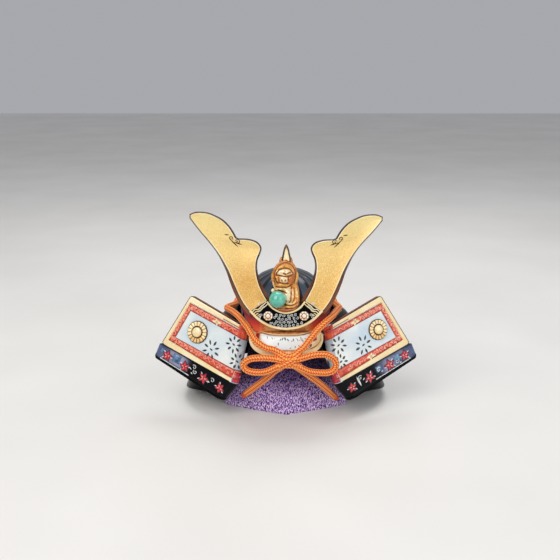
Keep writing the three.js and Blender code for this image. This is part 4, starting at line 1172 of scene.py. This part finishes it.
HORN_OUTER = [(1, 0.96), (0.898, 0.854), (0.794, 0.757), (0.69, 0.644), (0.608, 0.531), (0.555, 0.433),
              (0.504, 0.343),
              (0.45, 0.262), (0.378, 0.189), (0.294, 0.123), (0.21, 0.08), (0.117, 0.053), (0, 0.041)]
HORN_CROWN = [(1, 0.984), (0.94, 1), (0.835, 0.996), (0.752, 0.973), (0.67, 0.937), (0.607, 0.888),
              (0.565, 0.838), (0.533, 0.79)]
HORN_INNER = [(0.502, 0.779), (0.408, 0.776), (0.336, 0.762), (0.292, 0.738), (0.272, 0.705), (0.283, 0.669),
              (0.309, 0.621),
              (0.32, 0.563), (0.315, 0.499), (0.29, 0.417), (0.253, 0.352), (0.2, 0.279), (0.147, 0.229),
              (0.075, 0.197), (0, 0.184)]


def crest_points(rows):
    return [vec(a * HORN_REACH, b * HORN_RISE) for a, b in rows]


def horn(side, sign):
    outer, crown, inner = (spline(crest_points(rows), 6) for rows in (HORN_OUTER, HORN_CROWN, HORN_INNER))
    inner = [p for p in inner if p.x > ROOT_INNER]
    outer = [p for p in outer if p.x > ROOT_OUTER]
    outline = tidy_outline([vec(p.x * sign, p.y) for p in outer[::-1] + crown + inner])

    def place(x, y, z):
        return on_crest(x, y - HORN_DROP[side] * ease(y, 52, 82), z)

    def flank(p):
        """How far the back stands out beyond the face: more beside the roots."""
        if abs(p.x) > 14 + 0.3 * p.y:
            return 0.9 + 1.7 * (1 - ease(p.y, 26, 58))
        return 0.9 + 1.3 * (1 - ease(p.y, 22, 48))

    # painted highlight: the two cream bands on the rounded rim round the face
    rings = [(-0.75, HORN_FRONT - 0.1), (-0.55, HORN_FRONT), (-0.1, HORN_FRONT), (0.2, HORN_FRONT - 0.4),
             (0.5, HORN_FRONT - 1.4), (flank, HORN_FRONT - 2.6), (flank, HORN_BACK + 0.6), (0.3, HORN_BACK)]
    slab("horn_plate_" + side, outline, rings, place, [GOLD, CREAM, BROWN, OUTLINE], "gold",
         [0, 1, 1, 3, 3, 2, 2, 3, 0],
         replaces=("horn_" + side,), sharp=30)


for side, sign in SIDES:
    horn(side, sign)
    marks = [(28.8, 59.2, 34, 61.0), (31.4, 57.8, 36.6, 62.8)]
    curls = [line(spiral(sign * 31.6, 61.2, 1.7, 1.2, 0.4 if sign > 0 else 2.7, sign), 0.55),
             line(spiral(sign * 36.2, 63.4, 1.5, 1.1, 3.6 if sign > 0 else -0.5, -sign), 0.5)]
    curls += [dash((sign * a, b), (sign * c, d), 0.8) for a, b, c, d in marks]
    curls.append(dash((sign * 37.4, 65.6), (sign * 40.4, 66.0), 0.7))
    strokes("horn_marks_" + side, curls,
            lambda x, y, h: on_crest(x, y - 0.5 + (0.2 - 0.2 * sign), HORN_FRONT + h), BROWN, "gold", 0.1)


def plate_outline():
    lower = spline(crest_points(HORN_OUTER[-5:]), 8)
    upper = spline(crest_points(HORN_INNER[-4:]), 8)
    right = lower[::-1] + upper
    return tidy_outline(right + [vec(-p.x, p.y) for p in right[::-1]]), lower, upper


crest_outline, crest_lower, crest_upper = plate_outline()
slab("scroll_plate", crest_outline, [(-0.5, 0), (-0.15, -0.1), (0, -0.4), (0, -3)], on_crest, [BLACK],
     "silver_scroll",
     [0, 0, 0, 0, 0], replaces=("crest_plate",), sharp=40)


def mirrored_line(points):
    return [vec(-p.x, p.y) for p in points] + points[::-1][1:]


low_rim = mirrored_line(crest_lower)
high_rim = mirrored_line(crest_upper)
strokes("plate_rims", [([p + vec(0, 0.75) for p in low_rim], [1.7] * len(low_rim)),
                       ([p + vec(0, -0.45) for p in high_rim], [1.3] * len(high_rim))],
        on_crest, CREAM, "gold", 0.6)
double = []
for sign in (-1, 1):
    ends = [(22.6, 14.6), (20.4, 16.4), (18.2, 17.4), (16.2, 18.6), (14.4, 20.4), (12.9, 22.0)]
    for shift in (0.0, 1.7):
        scallop = spline([(sign * (a - shift * 0.5), b - shift * 0.75 + 0.5 * math.sin(k * 2.4)) for k,
                          (a, b) in enumerate(ends)], 5)
        double.append(line(scallop, 0.75))
    double += [dash((sign * 20.2, 13.2), (sign * 18.0, 14.6), 0.8),
               dash((sign * 18.8, 12.6), (sign * 16.8, 13.8), 0.8)]
strokes("plate_scallops", double, on_crest, CREAM, "gold", 0.42)

ROSETTE_X, ROSETTE_Y, ROSETTE_RADIUS, ROSETTE_HEIGHT, ROSETTE_PETALS = 11.8, 12.5, 3.2, 1.3, 8
scrolls = []
for row in range(5):
    for column in range(-8, 9):
        x = (column + 0.5 * (row % 2)) * 2.5
        low = 3.9 + 0.0165 * x * x + 1.4
        high = 14.6 + 0.028 * x * x - 1.5
        y = 6.1 + row * 2.15 + 0.0185 * x * x
        near = math.hypot(abs(x) - ROSETTE_X, y - ROSETTE_Y)
        if not low < y < high or near < 4.2 or abs(x) > 18.6:
            continue
        hand = 1 if (row + column) % 2 else -1
        scrolls.append(line(spiral(x, y, 1.05, 1.2, rng.uniform(0, 6.28), hand), 0.42))
strokes("plate_scroll", scrolls, on_crest, SILVER, "silver_scroll", 0.3)
for side, sign in SIDES:
    chrysanthemum("rosette_relief_" + side, sign * ROSETTE_X, ROSETTE_Y + 0.1, ROSETTE_RADIUS, on_crest,
                  ROSETTE_PETALS, ROSETTE_HEIGHT, ROSETTE, lift=0.2,
                  replaces=("rosette_" + side,))

SEAT_ROUNDING = 0.6
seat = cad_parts["crest_seat"]
repaint(seat, SEAT)
soften = seat.modifiers.new("edge", "BEVEL")
soften.width = SEAT_ROUNDING * MM
soften.segments = 3
soften.limit_method = "ANGLE"


# Crest figure: a hooded dragon coiled at the foot of a blade, with its pearl
FIGURE_Z = HORN_BACK + 4
PEARL_PLACE = (-5.6, 23.6)
PEARL_RADIUS = 5.5
PEARL_ROWS, PEARL_COLUMNS = 32, 64
VOXEL = 0.32
# Masses: place, half sizes, tone from 0 (dark brown) to 1 (cream)
MASSES = [
    (0, 25, -3.2, 7.0, 9.6, 3.2, 0.42), (-1.2, 37.5, -1.6, 6.6, 6.4, 3.0, 0.45),
    (-1.5, 40.9, 0.9, 5.1, 2.1, 2.3, 1.0),
    (-1.7, 36.5, 1.7, 3.3, 2.5, 2.7, 0.96), (-5.7, 36.4, 0.2, 1.9, 3.0, 2.0, 0.6),
    (2.6, 35.9, 0.3, 2.5, 3.6, 2.2, 0.42),
    (-2.2, 32.7, 0.9, 4.3, 1.7, 2.3, 0.62), (-3.2, 30.1, 0.2, 4.8, 1.5, 2.3, 0.84),
    (-8.4, 28.9, -1.2, 1.6, 1.6, 1.6, 1.0),
    (1.0, 26.2, 0.5, 2.7, 5.2, 2.8, 1.0), (-9.0, 20.2, -0.6, 1.8, 2.0, 1.8, 0.9),
]
# Sweeps: route, radius, tone
SWEEPS = [
    ([(4.2, 34.6, -1.2), (6.2, 30.6, -0.6), (6.7, 26, 0), (6.7, 22, 0.6), (5.2, 18.8, 1.4), (1.2, 17.4, 2.0),
      (-3.4, 17.6, 1.6),
      (-7.4, 19.6, -0.6), (-8.4, 23, -3.4)], 2.1, 0.55),
    ([(3.9, 30.4, 0.6), (4.2, 25.4, 1.2), (3.2, 21.4, 2.0)], 1.0, 0.8),
    ([(-0.6, 21.4, 2.4), (2.2, 20.4, 2.8), (4.8, 20.8, 2.4), (7.4, 22.6, 1.2)], 0.85, 0.86),
    ([(-0.4, 19.0, 3.2), (3.0, 18.2, 3.3), (6.8, 19.8, 2.0)], 0.85, 0.68),
    ([(-5.8, 17.0, 2.2), (-1.0, 16.1, 2.8), (4.4, 17.0, 2.4)], 1.2, 0.28),
    ([(-7.0, 39.6, -0.4), (-5.4, 43.2, 0.2), (-0.8, 45.4, 0.6), (3.8, 43.4, 0.2), (5.4, 39.6, -0.4)], 0.95,
     0.62),
    ([(-7.6, 42.6, -1.6), (-5.0, 46.2, -1.2), (-0.6, 48.4, -0.8), (3.8, 46.4, -1.2), (6.2, 42.6, -1.6)], 0.95,
     0.5),
    ([(-4.0, 47.2, -2.0), (-3.4, 49.2, -2.0), (-2.2, 51.4, -2.2)], 1.0, 0.5),
    ([(3.8, 47.4, -2.0), (3.2, 49.4, -2.0), (2.2, 51.6, -2.2)], 1.0, 0.5),
    ([(-8.4, 41.5, -2.4), (-8.7, 37.5, -2.2), (-7.8, 33.0, -2.2), (-7.0, 30.5, -2.4)], 1.1, 0.6),
    ([(7.0, 41.5, -2.4), (7.1, 37.5, -2.2), (6.0, 33.0, -2.2)], 1.1, 0.66),
]
HOOD = [(-0.2, 51.0), (-3.4, 48.6), (-5.8, 46.2), (-8.3, 43.2), (-8.9, 39.6), (-8.7, 36.2), (-7.6, 32.8),
        (-6.0, 29.6), (0, 28.6),
        (5.0, 29.8), (6.3, 33.4), (7.3, 38.6), (7.2, 42.8), (5.0, 46.8), (3.2, 49.0)]
# Painted lines: route, half width, tone, depth of the groove
PAINT = [
    ([(-6.6, 39.8), (-5.6, 41.6), (-3.7, 43.1), (-0.6, 43.8), (2.4, 43.0), (4.6, 40.4)], 0.34, 0.04, 0.35),
    ([(-6.8, 39.2), (-4.7, 39.2), (-1.7, 38.5), (1.3, 38.3), (4.2, 39.6)], 0.36, 0.08, 0.35),
    ([(-1.7, 40.4), (-0.2, 39.9)], 0.5, 0.1, 0.2), ([(1.0, 40.4), (2.7, 41.0)], 0.45, 0.14, 0.2),
    ([(-6.9, 37.2), (-6.4, 35.2), (-5.4, 34.0)], 0.42, 0.06, 0.3),
    ([(-5.0, 37.8), (-4.6, 35.6)], 0.46, 0.3, 0.2),
    ([(1.5, 37.8), (1.7, 35.4)], 0.46, 0.26, 0.2),
    ([(-4.6, 34.6), (-1.7, 33.8), (1.4, 33.6)], 0.34, 0.1, 0.3),
    ([(-3.0, 36.2), (-2.6, 35.4)], 0.34, 0.2, 0.1), ([(-0.8, 35.4), (-0.4, 36.2)], 0.34, 0.2, 0.1),
    ([(-6.6, 31.6), (-3.0, 31.3), (1.0, 31.5), (4.0, 33.2)], 0.34, 0.14, 0.3),
    ([(-5.4, 29.6), (-2.4, 28.8), (0.3, 27.4)], 0.34, 0.16, 0.3),
    ([(3.4, 31.4), (3.3, 27.0), (3.0, 22.4)], 0.34, 0.16, 0.3),
    ([(-7.7, 33.2), (-7.8, 37.0), (-7.5, 40.6), (-5.6, 44.5), (-2.8, 46.8), (-0.5, 47.3), (2.0, 46.8),
      (4.6, 44.7), (6.0, 41.2),
      (6.0, 37.0), (5.2, 33.8)], 0.3, 0.18, 0.25),
    ([(-3.2, 47.8), (-0.4, 49.6), (2.6, 47.9)], 0.26, 0.2, 0.2),
    ([(-1.4, 20.4), (3.0, 19.4), (7.4, 21.2)], 0.3, 0.14, 0.25),
    ([(-0.6, 18.0), (3.6, 17.4), (7.0, 18.8)], 0.3, 0.14, 0.25),
    ([(-6.0, 18.2), (-1.0, 17.2), (4.2, 18.0)], 0.28, 0.1, 0.25),
    ([(5.2, 31.0), (5.5, 27.0), (5.2, 23.4), (3.8, 21.0)], 0.24, 0.26, 0.2),
    # painted highlights: the last three, cream lines with no groove
    ([(-8.4, 34.0), (-8.0, 31.4)], 0.5, 1.0, 0.0), ([(6.6, 30.0), (7.2, 25.4)], 0.5, 0.9, 0.0),
    ([(0.4, 30.6), (3.0, 29.6)], 0.5, 0.95, 0.0),
]


def near_line(spots, route):
    """Distance of each spot from a line drawn in the crest's plane."""
    best = numpy.full(len(spots), 1e9)
    for a, b in zip(route, route[1:]):
        a, b = numpy.array(a), numpy.array(b)
        d = b - a
        t = numpy.clip(((spots - a) @ d) / (d @ d), 0, 1)
        best = numpy.minimum(best, numpy.linalg.norm(spots - (a + t[:, None] * d), axis=1))
    return best


def dragon():
    verts, faces, sources = [], [], []

    def grid(rings):
        n, base = len(rings[0]), len(verts)
        for ring in rings:
            verts.extend(ring)
        faces.extend(ring_faces(base, len(rings), n))
        faces.append(tuple(range(base, base + n))[::-1])
        faces.append(tuple(range(len(verts) - n, len(verts))))

    turn = [2 * math.pi * i / 20 for i in range(20)]
    for x, y, z, rx, ry, rz, tone in MASSES:
        middle = vec(x, y, z + FIGURE_Z)
        sources.append((middle, (rx, ry, rz), tone))
        grid([[middle + vec(rx * math.sin(a) * math.cos(b), ry * math.cos(a),
                            rz * math.sin(a) * math.sin(b)) for b in turn]
              for a in (math.pi * (j + 0.5) / 13 for j in range(13))])
    for route, radius, tone in SWEEPS:
        path = even(spline([(x, y, z + FIGURE_Z) for x, y, z in route], 8), 0.45)
        rings = []
        for k, p in enumerate(path):
            t = tangent(path, k)
            up = (vec(0, 0, 1) - t * t.z).normalized()
            across = t.cross(up)
            r = radius * (0.3 + 0.7 * rounded(min(k, len(path) - 1 - k) / 5))
            sources.append((p, (r, r, r), tone))
            rings.append([p + up * (r * math.cos(b)) + across * (r * math.sin(b)) for b in turn])
        grid(rings)
    outline = tidy_outline(spline([vec(*p) for p in HOOD + HOOD[:1]], 4)[:-1])
    grid([[vec(p.x, p.y, FIGURE_Z + high) for p in offset(outline, grow)]
          for grow, high in ((-4.2, 1.0), (-2.8, 0.7), (-1.5, 0.0), (-0.6, -0.9), (0, -2.2), (0, -4.6),
                             (-1.0, -5.2))])
    raw = bpy.data.meshes.new("dragon_raw")
    raw.from_pydata([tuple(v * MM) for v in verts], [], faces)
    rough = add_object("dragon_raw", raw)
    remesh = rough.modifiers.new("remesh", "REMESH")
    remesh.mode = "VOXEL"
    remesh.voxel_size = VOXEL * MM
    smooth = rough.modifiers.new("smooth", "SMOOTH")
    smooth.iterations = 2
    merged = rough.evaluated_get(bpy.context.evaluated_depsgraph_get()).to_mesh()
    spots = numpy.array([v.co for v in merged.vertices]) / MM
    facing_out = numpy.array([v.normal.z for v in merged.vertices])
    pairs = numpy.array([e.vertices[:] for e in merged.edges])
    shapes = [tuple(q.vertices) for q in merged.polygons]
    rough.to_mesh_clear()
    bpy.data.objects.remove(rough)
    reach, tones = numpy.full(len(spots), 1.9), numpy.full(len(spots), 0.46)
    for middle, radii, tone in sources:
        here = (((spots - numpy.array(middle)) / numpy.array(radii)) ** 2).sum(axis=1)
        nearer = here < reach
        tones[nearer], reach[nearer] = tone, here[nearer]
    counts = numpy.bincount(pairs.ravel(), minlength=len(spots))
    for _ in range(3):
        total = numpy.zeros(len(spots))
        numpy.add.at(total, pairs[:, 0], tones[pairs[:, 1]])
        numpy.add.at(total, pairs[:, 1], tones[pairs[:, 0]])
        tones = 0.4 * tones + 0.6 * total / numpy.maximum(counts, 1)
    front = numpy.clip(facing_out * 2.5, 0, 1)
    for route, half, tone, depth in PAINT:
        smooth_route = [tuple(q) for q in spline([vec(*r) for r in route], 4)]
        weight = numpy.clip(1.5 - near_line(spots[:, :2], smooth_route) / half, 0, 1) * front
        tones = tones * (1 - weight) + tone * weight
        spots[:, 2] -= depth * weight
    placed = [on_crest(*q) for q in spots]
    return piece("dragon_relief", placed, shapes, [DRAGON], "gold", replaces=("crest_dragon",),
                 attributes={"tone": tones.tolist()})


dragon()


def blade():
    side = spline([(3.5, 47.5), (3.1, 50.5), (2.5, 53.5), (1.9, 56.2), (1.0, 58.4), (0.15, 59.5)], 6)
    outline = tidy_outline(side + [vec(-p.x + 0.3, p.y) for p in side[::-1]])
    z = FIGURE_Z - 1.4
    rings = [(-1.25, z + 0.9), (-1.1, z + 1.5), (-0.95, z + 1.2), (-0.3, z + 0.9), (0, z + 0.3), (0, z - 3),
             (-0.4, z - 3.4)]
    slab("blade_relief", outline, rings, on_crest, [CREAM, BROWN], "gold", [0, 0, 1, 1, 1, 1, 1, 1],
         replaces=("crest_blade",), sharp=35)


def pearl():
    middle = vec(*PEARL_PLACE, FIGURE_Z + 5)
    verts = []
    for j in range(PEARL_ROWS + 1):
        for i in range(PEARL_COLUMNS):
            a, b = math.pi * j / PEARL_ROWS, 2 * math.pi * i / PEARL_COLUMNS
            outward = vec(math.sin(a) * math.cos(b), math.cos(a), math.sin(a) * math.sin(b))
            verts.append(on_crest(*(middle + outward * PEARL_RADIUS)))
    faces = ring_faces(0, PEARL_ROWS + 1, PEARL_COLUMNS)
    piece("pearl_ball", verts, faces, [TURQUOISE], "turquoise", replaces=("crest_pearl",))


blade()
pearl()


# Cloth over the stand
STAND_HALF_WIDTH, STAND_FRONT, STAND_BACK = 41.5, 34, 32
CLOTH_THICKNESS = 0.5
STAND_PLAN = [(0, -1), (0.3, -0.86), (0.72, -0.65), (0.96, -0.51), (1, -0.4), (0.97, 0), (0.9, 0.55),
              (0.68, 0.92), (0.3, 1), (0, 1)]
STAND_LEVELS = [(0, 1, 1), (0.045, 1, 1), (0.14, 0.85, 0.95), (0.28, 0.69, 0.84), (0.43, 0.6, 0.72),
                (0.62, 0.46, 0.55), (0.8, 0.36, 0.42)]
stand_height = BOWL_RIM_Z + BOWL_HEIGHT - BOWL_WALL - 3 * GAP
plan = spline(STAND_PLAN + [(-a, b) for a, b in STAND_PLAN[-2:0:-1]] + [STAND_PLAN[0]], 12)[:-1]
levels = spline(STAND_LEVELS, 6)


def cloth_point(i, j, out):
    across, back = plan[i % len(plan)]
    up, width, depth = levels[j]
    angle = math.atan2(across, -back)
    fold = 0.55 * math.sin(9 * angle + 5 * up + 0.6) + 0.4 * math.sin(17 * angle - 7 * up)
    fold += 1.1 * math.exp(-((angle - 0.25 - up * 0.9) / 0.16) ** 2) * ease(up, 0.02, 0.2)
    fold += 0.9 * math.exp(-((angle + 0.5 + up * 0.5) / 0.14) ** 2) * ease(up, 0.02, 0.2)
    fold = fold * (0.35 + 0.65 * ease(up, 0.0, 0.3)) + 0.9 + out
    flat = vec(across * width * STAND_HALF_WIDTH,
               back * depth * (STAND_FRONT if back < 0 else STAND_BACK) + up * BOWL_CENTRE_Y, 0)
    away = vec(across, back, 0).normalized()
    return flat + away * fold + vec(0, 0, max(0.0, up * stand_height))


cloth = shell("stand_cloth", len(plan), len(levels), lambda i, j: cloth_point(i, j, 0.0),
              lambda i, j: cloth_point(i, j, -CLOTH_THICKNESS), [CREPE], "purple_cloth", ring=True)
repaint(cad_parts["stand"], CREPE)


# Floor and light. Lamps: name, place, target, size, power, colour
FLOOR_HALF = 3
LAMPS = [
    ("key", (-0.5, -0.75, 0.85), (0, 0, 0.06), 0.8, 7.6, (1.0, 0.97, 0.92)),
    ("fill", (0.7, -0.7, 0.5), (0, 0, 0.06), 0.8, 3.0, (0.95, 0.97, 1.0)),
    ("top", (0.1, 0.35, 0.9), (0, 0, 0.05), 0.6, 3.6, (1, 1, 1)),
]
WORLD = {"Color": (0.92, 0.94, 1.0, 1), "Strength": 0.42}


def flat_floor():
    data = bpy.data.meshes.new("floor")
    corners = [(x * FLOOR_HALF, y * FLOOR_HALF, 0) for x, y in ((-1, -1), (1, -1), (1, 1), (-1, 1))]
    data.from_pydata(corners, [], [(0, 1, 2, 3)])
    paint = Shader("pale_floor", 0.7, specular=0.2)
    paint.color(paint.ramp(paint.noise(6, 2), [(0.3, (226, 224, 220)), (0.7, (234, 232, 228))]))
    data.materials.append(paint.material)
    add_object("floor", data)


def lamp(name, place, target, size, power, color):
    data = bpy.data.lights.new(name, "AREA")
    data.size = size
    data.energy = power
    data.color = color
    obj = add_object(name, data)
    obj.location = place
    obj.rotation_euler = (Vector(target) - Vector(place)).to_track_quat("-Z", "Y").to_euler()


flat_floor()
for row in LAMPS:
    lamp(*row)
world = bpy.data.worlds.new("world")
world.use_nodes = True
for socket, value in WORLD.items():
    world.node_tree.nodes["Background"].inputs[socket].default_value = value
bpy.context.scene.world = world
bpy.context.scene.view_settings.view_transform = "Standard"
